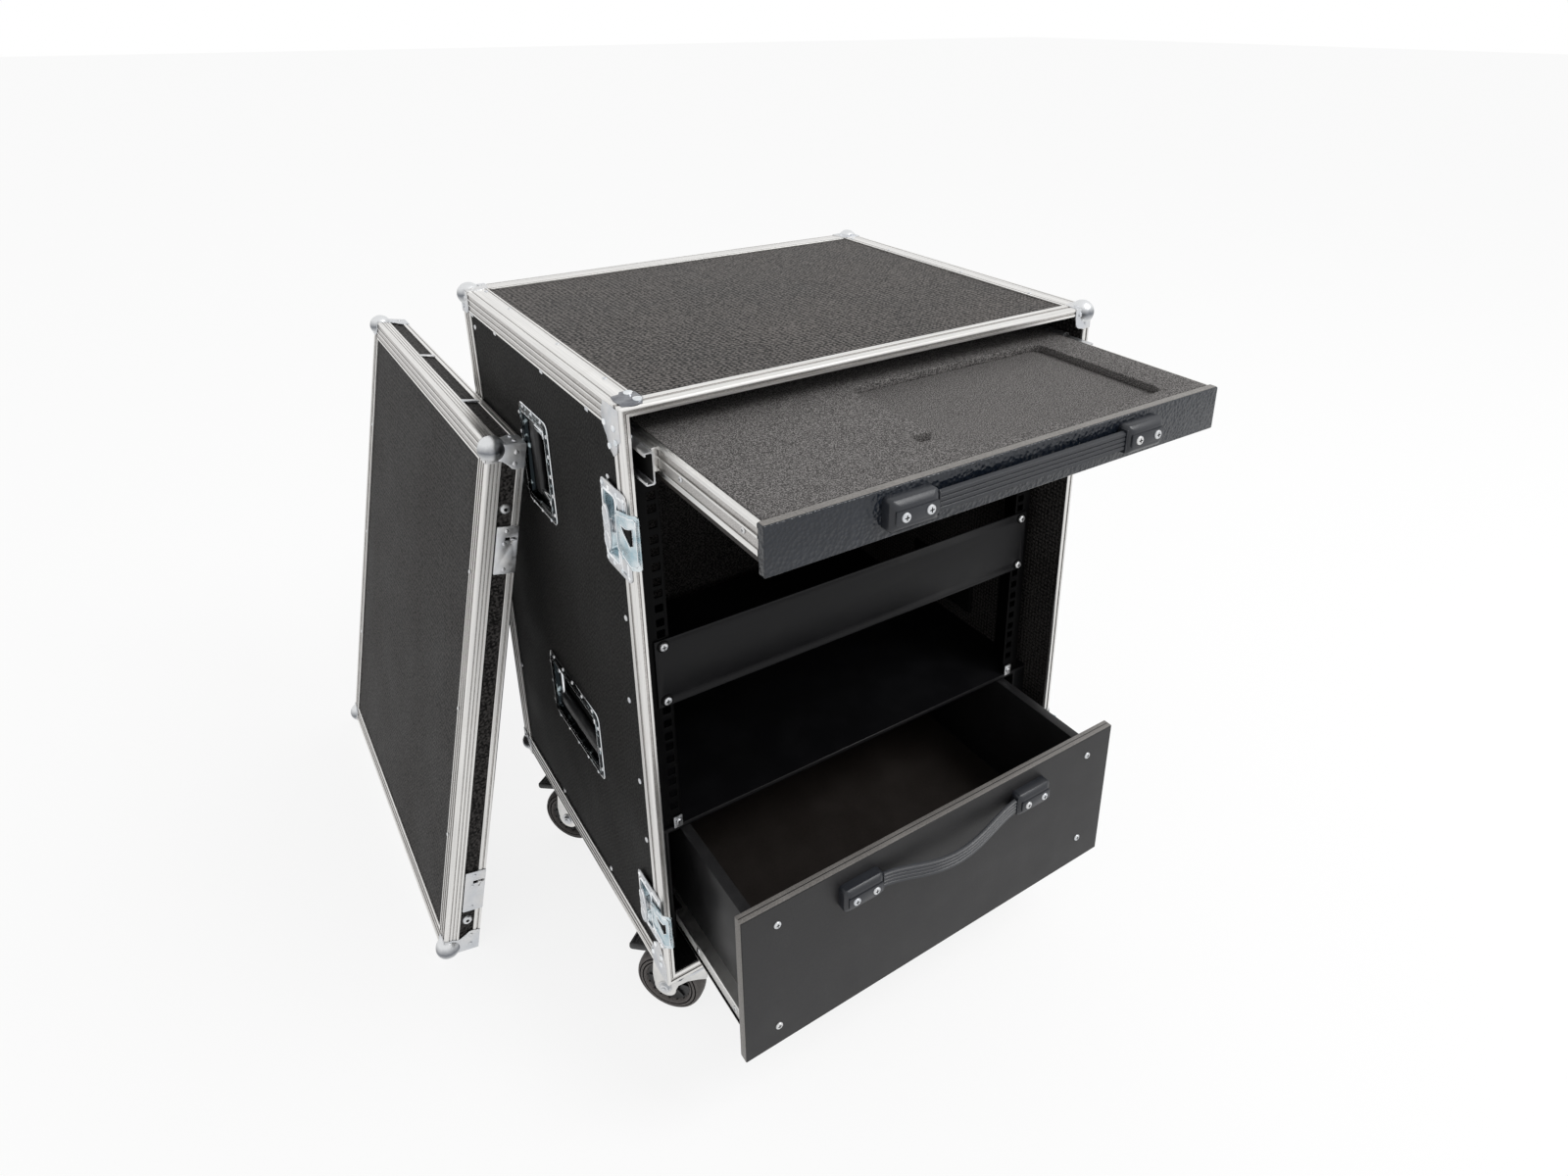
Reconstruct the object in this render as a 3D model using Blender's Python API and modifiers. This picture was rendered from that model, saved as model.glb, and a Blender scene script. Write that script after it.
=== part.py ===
"""Rack case on castors, with a pull-out shelf, a drawer and a lift-off lid leaning on its side.

Case coordinates are metres: X to the right, Y to the back and Z up, from the front, left, bottom
outer corner of the case body. The whole model is then moved to stand on Z = 0, centred on X and Y.
"""

from math import cos, hypot, pi, radians, sin

import bmesh
import bpy
from mathutils import Matrix, Vector

# Case body
CASE_WIDTH = 0.543
CASE_DEPTH = 0.457
CASE_HEIGHT = 0.653
WALL_BOARD = 0.007
BOTTOM_BOARD = 0.012
SHEET = 0.0015
GAP = 0.0003
PAST = 0.002

# Aluminium edge profiles
TOP_FLANGE = 0.0245
SIDE_FLANGE = 0.024
REAR_FLANGE = 0.028
BACK_FLANGE = 0.026
FOOT_FLANGE = 0.028
RIM_FACE = 0.009
RIM_FOOT = 0.0135
RIM_DEPTH = 0.018
RIM_SHEET = 0.002
BALL_RADIUS = 0.013
BALL_INSET = 0.007
BALL_SHEET = 0.0009
BRACE_LEG = 0.026

# Nineteen-inch rack rails and blank panel
PANEL_WIDTH = 0.4826
PANEL_HEIGHT = 0.0766
PANEL_BOTTOM = 0.3195
PANEL_SHEET = 0.002
RACK_SETBACK = 0.0394
RACK_OPENING = 0.450
RAIL_FLANGE = 0.0226
RAIL_SHEET = 0.002
RAIL_DEPTH = 0.033
RAIL_FOOT = 0.020
RAIL_TOP = 0.575

# Handles let into the sides: centre Y and Z, size along Y and Z, and how far the hinge and bar run
HANDLES = {
    "upper": {"centre": (0.2385, 0.5147), "size": (0.086, 0.114), "upright": True},
    "lower": {"centre": (0.2085, 0.2170), "size": (0.150, 0.087), "upright": False},
}
DISH_FLANGE = 0.012
DISH_DEPTH = 0.0125
DISH_SHEET = 0.0012
DISH_ROUND = 0.005
GRIP_THICKNESS = 0.009
GRIP_BAR = 0.020
GRIP_ARM = 0.008
GRIP_ROD = 0.0044
GRIP_SIDE_GAP = 0.003
GRIP_END_GAP = 0.0045
HINGE_PIN_RADIUS = 0.002

# Butterfly latches at the front edge of the sides: centre Z and height of each
LATCHES = {"upper": (0.5325, 0.085), "lower": (0.0870, 0.070)}
LATCH_WIDTH = 0.054
LATCH_SHEET = 0.0015
LATCH_TRAY_FRONT = 0.0225
LATCH_TRAY_BACK = 0.0500
LATCH_TRAY_MARGIN = 0.0100
LATCH_TRAY_DEPTH = 0.0085
LATCH_SPINDLE_RADIUS = 0.004
WING_SPAN = 0.046
WING_WIDTH = 0.015
WING_SHEET = 0.0025
HOOK_SHEET = 0.002
HOOK_REACH = 0.016
HOOK_BACK = 0.0210
HOOK_SHARE = 0.62

# Castors: inset of the swivel axis, how far the wheel hangs, and which way each wheel trails
CASTOR_INSET_X = 0.0525
CASTOR_INSET_FRONT = 0.0385
CASTOR_INSET_REAR = 0.113
PLATE_LENGTH = 0.076
PLATE_WIDTH = 0.066
PLATE_SHEET = 0.003
SWIVEL_RADIUS = 0.024
SWIVEL_HEIGHT = 0.011
PIN_RADIUS = 0.006
TRAIL = 0.035
WHEEL_RADIUS = 0.040
WHEEL_DROP = 0.032
WHEEL_WIDTH = 0.028
HUB_RADIUS = 0.012
FORK_SHEET = 0.0025
FORK_SIDE_GAP = 0.0005
FORK_TOP_SHEET = 0.003
FORK_EAR = 0.0115
PEDAL_HINGE = (0.034, -0.0225)
PEDAL_BARREL = 0.004
PEDAL_REACH = 0.047
PEDAL_WIDTH = 0.024
CASTORS = {
    "front_left": {"left": True, "front": True, "trails": 127.0, "brake": True},
    "rear_left": {"left": True, "front": False, "trails": 127.0, "brake": True},
    "front_right": {"left": False, "front": True, "trails": 100.0, "brake": False},
    "rear_right": {"left": False, "front": False, "trails": 250.0, "brake": False},
}

# Pull-out shelf, drawn where the photograph has it
SHELF_OUT = 0.183
SHELF_WIDTH = 0.493
SHELF_LENGTH = 0.395
SHELF_BOTTOM = 0.580
SHELF_FRONT_HEIGHT = 0.042
SHELF_FRONT_BOARD = 0.009
SHELF_BOARD = 0.024
SHELF_BOARD_LIFT = 0.005
PROFILE_HEIGHT = 0.027
PROFILE_LIFT = 0.0095
PROFILE_SHEET = 0.004
PROFILE_BACK = 0.010
RECESS_LEFT = -0.0445
RECESS_WIDTH = 0.243
RECESS_FRONT = 0.023
RECESS_LENGTH = 0.166
RECESS_DEPTH = 0.008
RECESS_ROUND = 0.012
NOTCH_WIDTH = 0.022
NOTCH_LENGTH = 0.014
NOTCH_FROM_FRONT = 0.030

# Telescopic slides of the shelf, three members each, nested from the wall inwards
SLIDE_LENGTH = 0.385
SLIDE_START = 0.020
SLIDE_SHEET = 0.0015
SLIDE_HEIGHT = 0.034
SLIDE_LIP = 0.0085
MEMBER_GAP = 0.0006
MIDDLE_LENGTH = 0.260
MIDDLE_OUT = 0.017
MIDDLE_WIDTH = 0.0085

# Drawer, drawn where the photograph has it
DRAWER_OUT = 0.118
DRAWER_WIDTH = 0.490
DRAWER_BOTTOM = 0.001
DRAWER_HEIGHT = 0.185
DRAWER_FRONT_BOARD = 0.011
DRAWER_BOX_WIDTH = 0.456
DRAWER_BOX_LENGTH = 0.360
DRAWER_BOX_LIFT = 0.0155
DRAWER_BOX_TOP = 0.160
DRAWER_SIDE_BOARD = 0.012
DRAWER_FLOOR_BOARD = 0.008
RUNNER_THICKNESS = 0.0125
RUNNER_LIFT = 0.028
RUNNER_HEIGHT = 0.022
RUNNER_CHANNEL_SHEET = 0.0015
HOUSING_FRONT = 0.040
HOUSING_LENGTH = 0.390
HOUSING_TOP_BOARD = 0.006
HOUSING_HEADROOM = 0.0017

# Strap handles on the shelf and the drawer
CAP_WIDTH = 0.047
CAP_HEIGHT = 0.027
CAP_THICKNESS = 0.015
STRAP_HEIGHT = 0.018
STRAP_THICKNESS = 0.004
STRAP_IN_CAP = 0.006
SHELF_STRAP_SPAN = 0.2565
SHELF_STRAP_SHIFT = 0.006
SHELF_STRAP_HEIGHT = 0.0225
DRAWER_STRAP_SPAN = 0.2275
DRAWER_STRAP_HEIGHT = 0.153
DRAWER_STRAP_BOW = 0.0105
DRAWER_STRAP_SAG = 0.013
STRAP_STEPS = 12

# Lid, standing on the floor and leaning on the left side
LID_THICKNESS = 0.042
LID_FACE_FLANGE = 0.024
LID_SIDE_FLANGE = 0.017
LID_LEAN = 12.0
LID_NEAR_END = 0.2648
LID_REST_GAP = 0.0005
KEEPER_HEIGHT = 0.056
KEEPER_PROUD = 0.0013

# Derived places that several pieces share
SKIN = SHEET + GAP
WALL_INSIDE = SKIN + WALL_BOARD
FLOOR_INSIDE = SKIN + BOTTOM_BOARD
MIDDLE = CASE_WIDTH / 2
PLATE_BOTTOM = -GAP - PLATE_SHEET
AXLE_DROP = -WHEEL_DROP - WHEEL_RADIUS
CASTOR_HEIGHT = WHEEL_DROP + 2 * WHEEL_RADIUS
LEG_INSIDE = WHEEL_WIDTH / 2 + FORK_SIDE_GAP
LEG_OUTSIDE = LEG_INSIDE + FORK_SHEET
FORK_TOP = PLATE_BOTTOM - GAP
SHELF_HALF = SHELF_WIDTH / 2
BOX_HALF = DRAWER_BOX_WIDTH / 2
RUNNER_OUTSIDE = BOX_HALF + RUNNER_THICKNESS
CHEEK_INSIDE = MIDDLE - RUNNER_OUTSIDE - RUNNER_CHANNEL_SHEET - GAP
HOUSING_TOP = DRAWER_BOX_TOP + HOUSING_HEADROOM + HOUSING_TOP_BOARD
RAIL_BOTTOM = HOUSING_TOP + GAP
CAP_FACE = -GAP - CAP_THICKNESS
LATCH_BACK_FACE = -GAP
LATCH_FACE = LATCH_BACK_FACE - LATCH_SHEET
HOOK_FACE = LATCH_FACE - GAP - HOOK_SHEET
WING_FACE = HOOK_FACE - GAP - WING_SHEET


def clear_scene():
    for item in list(bpy.data.objects):
        bpy.data.objects.remove(item)


def new_collection(name):
    collection = bpy.data.collections.new(name)
    bpy.context.scene.collection.children.link(collection)
    return collection


def finish(name, colour, roughness, metallic=0.0):
    """A plain finish: colour, roughness and how metallic it is."""
    made = bpy.data.materials.new(name)
    made.use_nodes = True
    shader = made.node_tree.nodes["Principled BSDF"]
    shader.inputs["Base Color"].default_value = (*colour, 1.0)
    shader.inputs["Roughness"].default_value = roughness
    shader.inputs["Metallic"].default_value = metallic
    return made


def laminate_finish():
    return finish("black_laminate", (0.020, 0.020, 0.022), 0.62)


def aluminium_finish():
    return finish("aluminium", (0.78, 0.78, 0.77), 0.32, 1.0)


def zinc_finish():
    return finish("bright_zinc", (0.72, 0.75, 0.78), 0.24, 1.0)


def powder_coat_finish():
    return finish("black_powder_coat", (0.018, 0.018, 0.020), 0.48)


def board_finish():
    return finish("black_board", (0.030, 0.029, 0.029), 0.46)


def foam_finish():
    return finish("grey_foam", (0.090, 0.085, 0.080), 0.95)


def grained_finish():
    return finish("grained_leathercloth", (0.018, 0.020, 0.025), 0.45)


def rubber_finish():
    return finish("black_rubber", (0.022, 0.023, 0.026), 0.55)


def tyre_finish():
    return finish("grey_tyre", (0.070, 0.065, 0.062), 0.70)


def plastic_finish():
    return finish("black_plastic", (0.015, 0.015, 0.016), 0.40)


def add(name, mesh, collection, material=None, parent=None):
    """Put a mesh in the scene as a named object under its parent."""
    item = bpy.data.objects.new(name, mesh)
    collection.objects.link(item)
    item.parent = parent
    if material:
        item.data.materials.append(material)
    return item


def block(name, low, high, parent=None):
    """A box between two corners, with its origin at its centre."""
    low = Vector(low)
    high = Vector(high)
    shape = bmesh.new()
    bmesh.ops.create_cube(shape, size=1.0)
    bmesh.ops.scale(shape, vec=high - low, verts=shape.verts)
    mesh = bpy.data.meshes.new(name)
    shape.to_mesh(mesh)
    shape.free()
    item = add(name, mesh, DRAFTS, parent=parent)
    item.location = (low + high) / 2
    return item


def turned_to(normal):
    """The rotation that lays a flat outline's own axes on the two that remain beside its normal."""
    columns = {
        "X": ((0, 1, 0), (0, 0, 1), (1, 0, 0)),
        "Y": ((1, 0, 0), (0, 0, 1), (0, -1, 0)),
        "Z": ((1, 0, 0), (0, 1, 0), (0, 0, 1)),
    }
    return Matrix(columns[normal]).transposed()


def plate(name, loops, normal, start, end, at=(0.0, 0.0), parent=None):
    """A flat outline, with any inner loops as holes, between two distances along its normal."""
    curve = bpy.data.curves.new(name, "CURVE")
    curve.dimensions = "2D"
    curve.fill_mode = "BOTH"
    curve.extrude = abs(end - start) / 2
    for loop in loops:
        spline = curve.splines.new("POLY")
        spline.points.add(len(loop) - 1)
        for point, (across, up) in zip(spline.points, loop):
            point.co = (across, up, 0.0, 1.0)
        spline.use_cyclic_u = True
    draft = bpy.data.objects.new(name, curve)
    DRAFTS.objects.link(draft)
    mesh = welded_mesh(draft)
    bpy.data.objects.remove(draft)
    item = add(name, mesh, DRAFTS, parent=parent)
    item.rotation_euler = turned_to(normal).to_euler()
    middle = (start + end) / 2
    places = {
        "X": (middle, at[0], at[1]),
        "Y": (at[0], middle, at[1]),
        "Z": (at[0], at[1], middle),
    }
    item.location = places[normal]
    return item


def welded_mesh(draft):
    """A curve object's shape as a closed mesh, its caps joined to its sides."""
    bpy.context.view_layer.update()
    view = bpy.context.evaluated_depsgraph_get()
    mesh = bpy.data.meshes.new_from_object(draft.evaluated_get(view))
    shape = bmesh.new()
    shape.from_mesh(mesh)
    bmesh.ops.remove_doubles(shape, verts=shape.verts, dist=0.00001)
    bmesh.ops.recalc_face_normals(shape, faces=shape.faces)
    shape.to_mesh(mesh)
    shape.free()
    return mesh


def rod(name, radius, axis, start, end, at=(0.0, 0.0), sides=20, parent=None):
    """A cylinder between two distances along an axis."""
    shape = bmesh.new()
    bmesh.ops.create_cone(
        shape, cap_ends=True, segments=sides, radius1=radius, radius2=radius, depth=abs(end - start)
    )
    mesh = bpy.data.meshes.new(name)
    shape.to_mesh(mesh)
    shape.free()
    item = add(name, mesh, DRAFTS, parent=parent)
    item.rotation_euler = turned_to(axis).to_euler()
    middle = (start + end) / 2
    places = {
        "X": (middle, at[0], at[1]),
        "Y": (at[0], middle, at[1]),
        "Z": (at[0], at[1], middle),
    }
    item.location = places[axis]
    return item


def ball(name, radius, at, parent=None):
    shape = bmesh.new()
    bmesh.ops.create_uvsphere(shape, u_segments=14, v_segments=9, radius=radius)
    mesh = bpy.data.meshes.new(name)
    shape.to_mesh(mesh)
    shape.free()
    item = add(name, mesh, DRAFTS, parent=parent)
    item.location = at
    return item


def use_tool(solid, tool, operation):
    """Cut with, or join, another object, which then stays hidden among the cutters."""
    modifier = solid.modifiers.new(operation.lower(), "BOOLEAN")
    modifier.operation = operation
    modifier.solver = "EXACT"
    modifier.object = tool
    tool.hide_render = True
    tool.display_type = "WIRE"
    return solid


def cut(solid, *tools):
    for tool in tools:
        use_tool(solid, tool, "DIFFERENCE")
    return solid


def join(solid, *tools):
    for tool in tools:
        use_tool(solid, tool, "UNION")
    return solid


def soften(solid, width, segments=1):
    """Round the sharp edges of a piece."""
    bevel = solid.modifiers.new("rounded_edges", "BEVEL")
    bevel.width = width
    bevel.segments = segments
    bevel.limit_method = "ANGLE"
    return solid


def keep(item, material, smooth=False):
    """Make a finished piece a part of the model."""
    item.data.materials.append(material)
    if smooth:
        item.data.shade_smooth()
        item.data.set_sharp_from_angle(angle=radians(40))
    PARTS.objects.link(item)
    DRAFTS.objects.unlink(item)
    return item


def holder(name, at, parent=None, turn=(0.0, 0.0, 0.0)):
    """An empty on a joint's axis, which carries the pieces that move there."""
    item = bpy.data.objects.new(name, None)
    PARTS.objects.link(item)
    item.parent = parent
    item.location = at
    item.rotation_euler = turn
    return item


def rounded(width, height, radius, steps=3):
    """A rectangle with round corners, centred on zero."""
    points = []
    corners = ((1, 1), (-1, 1), (-1, -1), (1, -1))
    for quarter, (across, up) in enumerate(corners):
        for step in range(steps + 1):
            angle = (quarter + step / steps) * pi / 2
            points.append(
                (
                    across * (width / 2 - radius) + radius * cos(angle),
                    up * (height / 2 - radius) + radius * sin(angle),
                )
            )
    return points


def rectangle(low, high):
    return [(low[0], low[1]), (high[0], low[1]), (high[0], high[1]), (low[0], high[1])]


def on_side(left, distance):
    """The X of a distance measured inwards from the outer face of a side."""
    return distance if left else CASE_WIDTH - distance


def side_name(left):
    return "left" if left else "right"


def ball_corner(name, at, core_low, core_high, parent):
    """A steel ball corner: a ball less what lies inside the profiles."""
    return cut(ball(name, BALL_RADIUS, at, parent), block(name + "_core", core_low, core_high, parent))


def case_corner(name, left, y, top):
    z = CASE_HEIGHT - BALL_INSET if top else BALL_INSET
    core_low = (BALL_SHEET, BALL_SHEET, BALL_SHEET)
    core_high = (CASE_WIDTH - BALL_SHEET, CASE_DEPTH - BALL_SHEET, CASE_HEIGHT - BALL_SHEET)
    return ball_corner(name, (on_side(left, BALL_INSET), y, z), core_low, core_high, CASE)


# Case body


def tray_loop(handle, margin=0.0):
    """The outline of a dish's tray, or of the hole that it sits in."""
    width, height = handle["size"]
    return rounded(
        width - 2 * DISH_FLANGE + 2 * margin, height - 2 * DISH_FLANGE + 2 * margin, DISH_ROUND
    )


def latch_tray(height, margin=0.0):
    """Size and centre of a latch's tray, along Y and Z from the front and the latch's middle."""
    width = LATCH_TRAY_BACK - LATCH_TRAY_FRONT + 2 * margin
    tall = height - 2 * LATCH_TRAY_MARGIN + 2 * margin
    return rounded(width, tall, 0.004, 2), (LATCH_TRAY_FRONT + LATCH_TRAY_BACK) / 2


def side_panel(left):
    name = side_name(left) + "_side_panel"
    outside = on_side(left, SKIN)
    inside = on_side(left, WALL_INSIDE)
    low = (min(outside, inside), RIM_SHEET + GAP, SKIN)
    high = (max(outside, inside), CASE_DEPTH - SKIN, CASE_HEIGHT - SKIN)
    panel = block(name, low, high, CASE)
    for title, handle in HANDLES.items():
        hole = plate(
            f"{name}_{title}_handle_hole",
            [tray_loop(handle, GAP)],
            "X",
            low[0] - PAST,
            high[0] + PAST,
            handle["centre"],
            CASE,
        )
        cut(panel, hole)
    for title, (z, height) in LATCHES.items():
        loop, y = latch_tray(height, GAP)
        hole = plate(
            f"{name}_{title}_latch_hole", [loop], "X", low[0] - PAST, high[0] + PAST, (y, z), CASE
        )
        cut(panel, hole)
    return keep(panel, LAMINATE)


def level_panel(name, low_z, high_z):
    low = (WALL_INSIDE + GAP, RIM_SHEET + GAP, low_z)
    high = (CASE_WIDTH - WALL_INSIDE - GAP, CASE_DEPTH - SKIN, high_z)
    return keep(block(name, low, high, CASE), LAMINATE)


def back_panel():
    low = (WALL_INSIDE + GAP, CASE_DEPTH - WALL_INSIDE, FLOOR_INSIDE + GAP)
    high = (
        CASE_WIDTH - WALL_INSIDE - GAP,
        CASE_DEPTH - SKIN,
        CASE_HEIGHT - WALL_INSIDE - GAP,
    )
    return keep(block("back_panel", low, high, CASE), LAMINATE)


def panels():
    side_panel(True)
    side_panel(False)
    top = CASE_HEIGHT - SKIN
    level_panel("top_panel", top - WALL_BOARD, top)
    level_panel("bottom_panel", SKIN, FLOOR_INSIDE)
    back_panel()


def edge_shell(name, low_y, low_z, high_z):
    """A box round the case body, from which the profiles are cut."""
    return block(name, (0.0, low_y, low_z), (CASE_WIDTH, CASE_DEPTH, high_z), CASE)


def upper_edge_frame():
    """The two upper side profiles and the rear one, with the two rear ball corners."""
    name = "upper_edge_frame"
    low_z = CASE_HEIGHT - SIDE_FLANGE
    frame = edge_shell(name, RIM_DEPTH + GAP, low_z, CASE_HEIGHT)
    core = block(
        name + "_core",
        (SHEET, 0.0, low_z - PAST),
        (CASE_WIDTH - SHEET, CASE_DEPTH - SHEET, CASE_HEIGHT - SHEET),
        CASE,
    )
    top_window = block(
        name + "_top_window",
        (TOP_FLANGE, 0.0, low_z),
        (CASE_WIDTH - TOP_FLANGE, CASE_DEPTH - REAR_FLANGE, CASE_HEIGHT + PAST),
        CASE,
    )
    cut(frame, core, top_window)
    for left in (True, False):
        corner = f"upper_{side_name(left)}_ball"
        join(frame, case_corner(corner, left, CASE_DEPTH - BALL_INSET, True))
    return keep(frame, ALUMINIUM)


def lower_edge_frame():
    """The lower profiles and the two rear posts, with the two lower rear ball corners."""
    name = "lower_edge_frame"
    post_top = CASE_HEIGHT - SIDE_FLANGE - GAP
    frame = edge_shell(name, RIM_DEPTH + GAP, 0.0, post_top)
    core = block(
        name + "_core",
        (SHEET, 0.0, SHEET),
        (CASE_WIDTH - SHEET, CASE_DEPTH - SHEET, CASE_HEIGHT),
        CASE,
    )
    side_window = block(
        name + "_side_window",
        (-PAST, 0.0, FOOT_FLANGE),
        (CASE_WIDTH + PAST, CASE_DEPTH - REAR_FLANGE, CASE_HEIGHT),
        CASE,
    )
    back_window = block(
        name + "_back_window",
        (BACK_FLANGE, CASE_DEPTH - REAR_FLANGE / 2, FOOT_FLANGE),
        (CASE_WIDTH - BACK_FLANGE, CASE_DEPTH + PAST, CASE_HEIGHT),
        CASE,
    )
    bottom_window = block(
        name + "_bottom_window",
        (TOP_FLANGE, 0.0, -PAST),
        (CASE_WIDTH - TOP_FLANGE, CASE_DEPTH - REAR_FLANGE, FOOT_FLANGE / 2),
        CASE,
    )
    cut(frame, core, side_window, back_window, bottom_window)
    for left in (True, False):
        corner = f"lower_{side_name(left)}_ball"
        join(frame, case_corner(corner, left, CASE_DEPTH - BALL_INSET, False))
    return keep(frame, ALUMINIUM)


def front_rim_frame():
    """The frame round the opening, with ball corners on its right."""
    name = "front_rim_frame"
    frame = block(name, (0.0, 0.0, 0.0), (CASE_WIDTH, RIM_DEPTH, CASE_HEIGHT), CASE)
    opening = block(
        name + "_opening",
        (RIM_FACE, -PAST, RIM_FOOT),
        (CASE_WIDTH - RIM_FACE, RIM_DEPTH + PAST, CASE_HEIGHT - RIM_FACE),
        CASE,
    )
    core = block(
        name + "_core",
        (SHEET, RIM_SHEET, SHEET),
        (CASE_WIDTH - SHEET, RIM_DEPTH + 2 * PAST, CASE_HEIGHT - SHEET),
        CASE,
    )
    cut(frame, opening, core)
    for top in (True, False):
        level = "upper" if top else "lower"
        corner = case_corner(f"{level}_front_ball", False, BALL_INSET, top)
        behind = block(
            f"{level}_front_ball_back",
            (CASE_WIDTH - 2 * BALL_RADIUS, RIM_DEPTH - GAP, -2 * BALL_RADIUS),
            (CASE_WIDTH + 2 * BALL_RADIUS, RIM_DEPTH + BALL_RADIUS, CASE_HEIGHT + 2 * BALL_RADIUS),
            CASE,
        )
        join(frame, cut(corner, behind))
    return keep(frame, ALUMINIUM)


# Rack


def rack_rail(left):
    """A rail of sheet: its front flange, its web and its foot on the wall."""
    inwards = 1 if left else -1
    inner_edge = MIDDLE - RACK_OPENING / 2
    web = inner_edge - RAIL_FLANGE
    wall = WALL_INSIDE + GAP
    front = RACK_SETBACK + PANEL_SHEET + GAP
    back = front + RAIL_DEPTH
    section = [
        (inner_edge, front),
        (inner_edge, front + RAIL_SHEET),
        (web + RAIL_SHEET, front + RAIL_SHEET),
        (web + RAIL_SHEET, back),
        (wall + RAIL_SHEET, back),
        (wall + RAIL_SHEET, back + RAIL_FOOT),
        (wall, back + RAIL_FOOT),
        (wall, back - RAIL_SHEET),
        (web, back - RAIL_SHEET),
        (web, front),
    ]
    loop = [(inwards * x, y) for x, y in section]
    rail = plate(
        f"rack_rail_{side_name(left)}",
        [loop],
        "Z",
        RAIL_BOTTOM,
        RAIL_TOP,
        (on_side(left, 0.0), 0.0),
        CASE,
    )
    return keep(rail, POWDER_COAT)


def rack_blank_panel():
    low = (MIDDLE - PANEL_WIDTH / 2, RACK_SETBACK, PANEL_BOTTOM)
    high = (MIDDLE + PANEL_WIDTH / 2, RACK_SETBACK + PANEL_SHEET, PANEL_BOTTOM + PANEL_HEIGHT)
    return keep(block("rack_blank_panel", low, high, CASE), POWDER_COAT)


def housing_side():
    """Half of the housing's section, from the top board down the cheek and round the fixed runner."""
    sheet = RUNNER_CHANNEL_SHEET
    web = CHEEK_INSIDE + sheet
    lip = web + RUNNER_THICKNESS * 0.6
    hollow_low = DRAWER_BOTTOM + RUNNER_LIFT - MEMBER_GAP
    hollow_high = DRAWER_BOTTOM + RUNNER_LIFT + RUNNER_HEIGHT + MEMBER_GAP
    return [
        (CHEEK_INSIDE, HOUSING_TOP - HOUSING_TOP_BOARD),
        (CHEEK_INSIDE, hollow_high + sheet),
        (lip, hollow_high + sheet),
        (lip, hollow_high),
        (web, hollow_high),
        (web, hollow_low),
        (lip, hollow_low),
        (lip, hollow_low - sheet),
        (CHEEK_INSIDE, hollow_low - sheet),
        (CHEEK_INSIDE, FLOOR_INSIDE + GAP),
        (WALL_INSIDE + GAP, FLOOR_INSIDE + GAP),
        (WALL_INSIDE + GAP, HOUSING_TOP),
    ]


def drawer_housing():
    """The board over the drawer and the cheeks beside it, with the fixed runner members."""
    half = housing_side()
    other_half = [(CASE_WIDTH - x, z) for x, z in reversed(half)]
    end = HOUSING_FRONT + HOUSING_LENGTH
    housing = plate("drawer_housing", [half + other_half], "Y", HOUSING_FRONT, end, parent=CASE)
    return keep(housing, BOARD)


# Recessed handles


def handle_dish(left, title, handle):
    width, height = handle["size"]
    name = f"handle_dish_{title}_{side_name(left)}"
    flange = plate(
        name,
        [rounded(width, height, DISH_ROUND)],
        "X",
        on_side(left, 0.0),
        on_side(left, SHEET),
        handle["centre"],
        CASE,
    )
    tray = plate(
        name + "_tray",
        [tray_loop(handle)],
        "X",
        on_side(left, SHEET / 2),
        on_side(left, DISH_DEPTH),
        handle["centre"],
        CASE,
    )
    hollow = plate(
        name + "_hollow",
        [tray_loop(handle, -DISH_SHEET)],
        "X",
        on_side(left, -PAST),
        on_side(left, DISH_DEPTH - DISH_SHEET),
        handle["centre"],
        CASE,
    )
    cut(join(flange, tray), hollow)
    return keep(flange, ZINC)


def handle_grip(left, title, handle):
    """A grip that hangs in its dish and swings out on a hinge along the dish's long side."""
    along, across = handle["size"]
    if handle["upright"]:
        along, across = across, along
    hollow_along = along - 2 * DISH_FLANGE - 2 * DISH_SHEET
    hollow_across = across - 2 * DISH_FLANGE - 2 * DISH_SHEET
    length = hollow_along - 2 * GRIP_SIDE_GAP
    reach = hollow_across - 2 * GRIP_END_GAP
    name = f"handle_grip_{title}_{side_name(left)}"
    outer_middle = reach / 2 - GRIP_ROD / 2
    window_reach = reach - GRIP_ROD - GRIP_BAR
    window_middle = GRIP_ROD / 2 + window_reach / 2
    outer = [(x, y + outer_middle) for x, y in rounded(length, reach, 0.0028, 2)]
    window = [
        (x, y + window_middle) for x, y in rounded(length - 2 * GRIP_ARM, window_reach, 0.004, 2)
    ]
    depth = DISH_DEPTH - DISH_SHEET - GAP - GRIP_THICKNESS / 2
    centre_y, centre_z = handle["centre"]
    if handle["upright"]:
        at = (on_side(left, depth), centre_y - hollow_across / 2 + GRIP_END_GAP + GRIP_ROD / 2, centre_z)
        columns = ((0, 0, 1), (0, 1, 0), (-1, 0, 0))
    else:
        at = (on_side(left, depth), centre_y, centre_z + hollow_across / 2 - GRIP_END_GAP - GRIP_ROD / 2)
        columns = ((0, 1, 0), (0, 0, -1), (-1, 0, 0))
    axis = holder(name + "_axis", at, CASE, Matrix(columns).transposed().to_euler())
    half = GRIP_THICKNESS / 2
    grip = plate(name, [outer, window], "Z", -half, half, parent=axis)
    end = hollow_along / 2 - GAP
    pin = rod(name + "_pin", HINGE_PIN_RADIUS, "X", -end, end, sides=12, parent=axis)
    soften(grip, 0.0015)
    join(grip, pin)
    return keep(grip, PLASTIC)


# Butterfly latches


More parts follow.
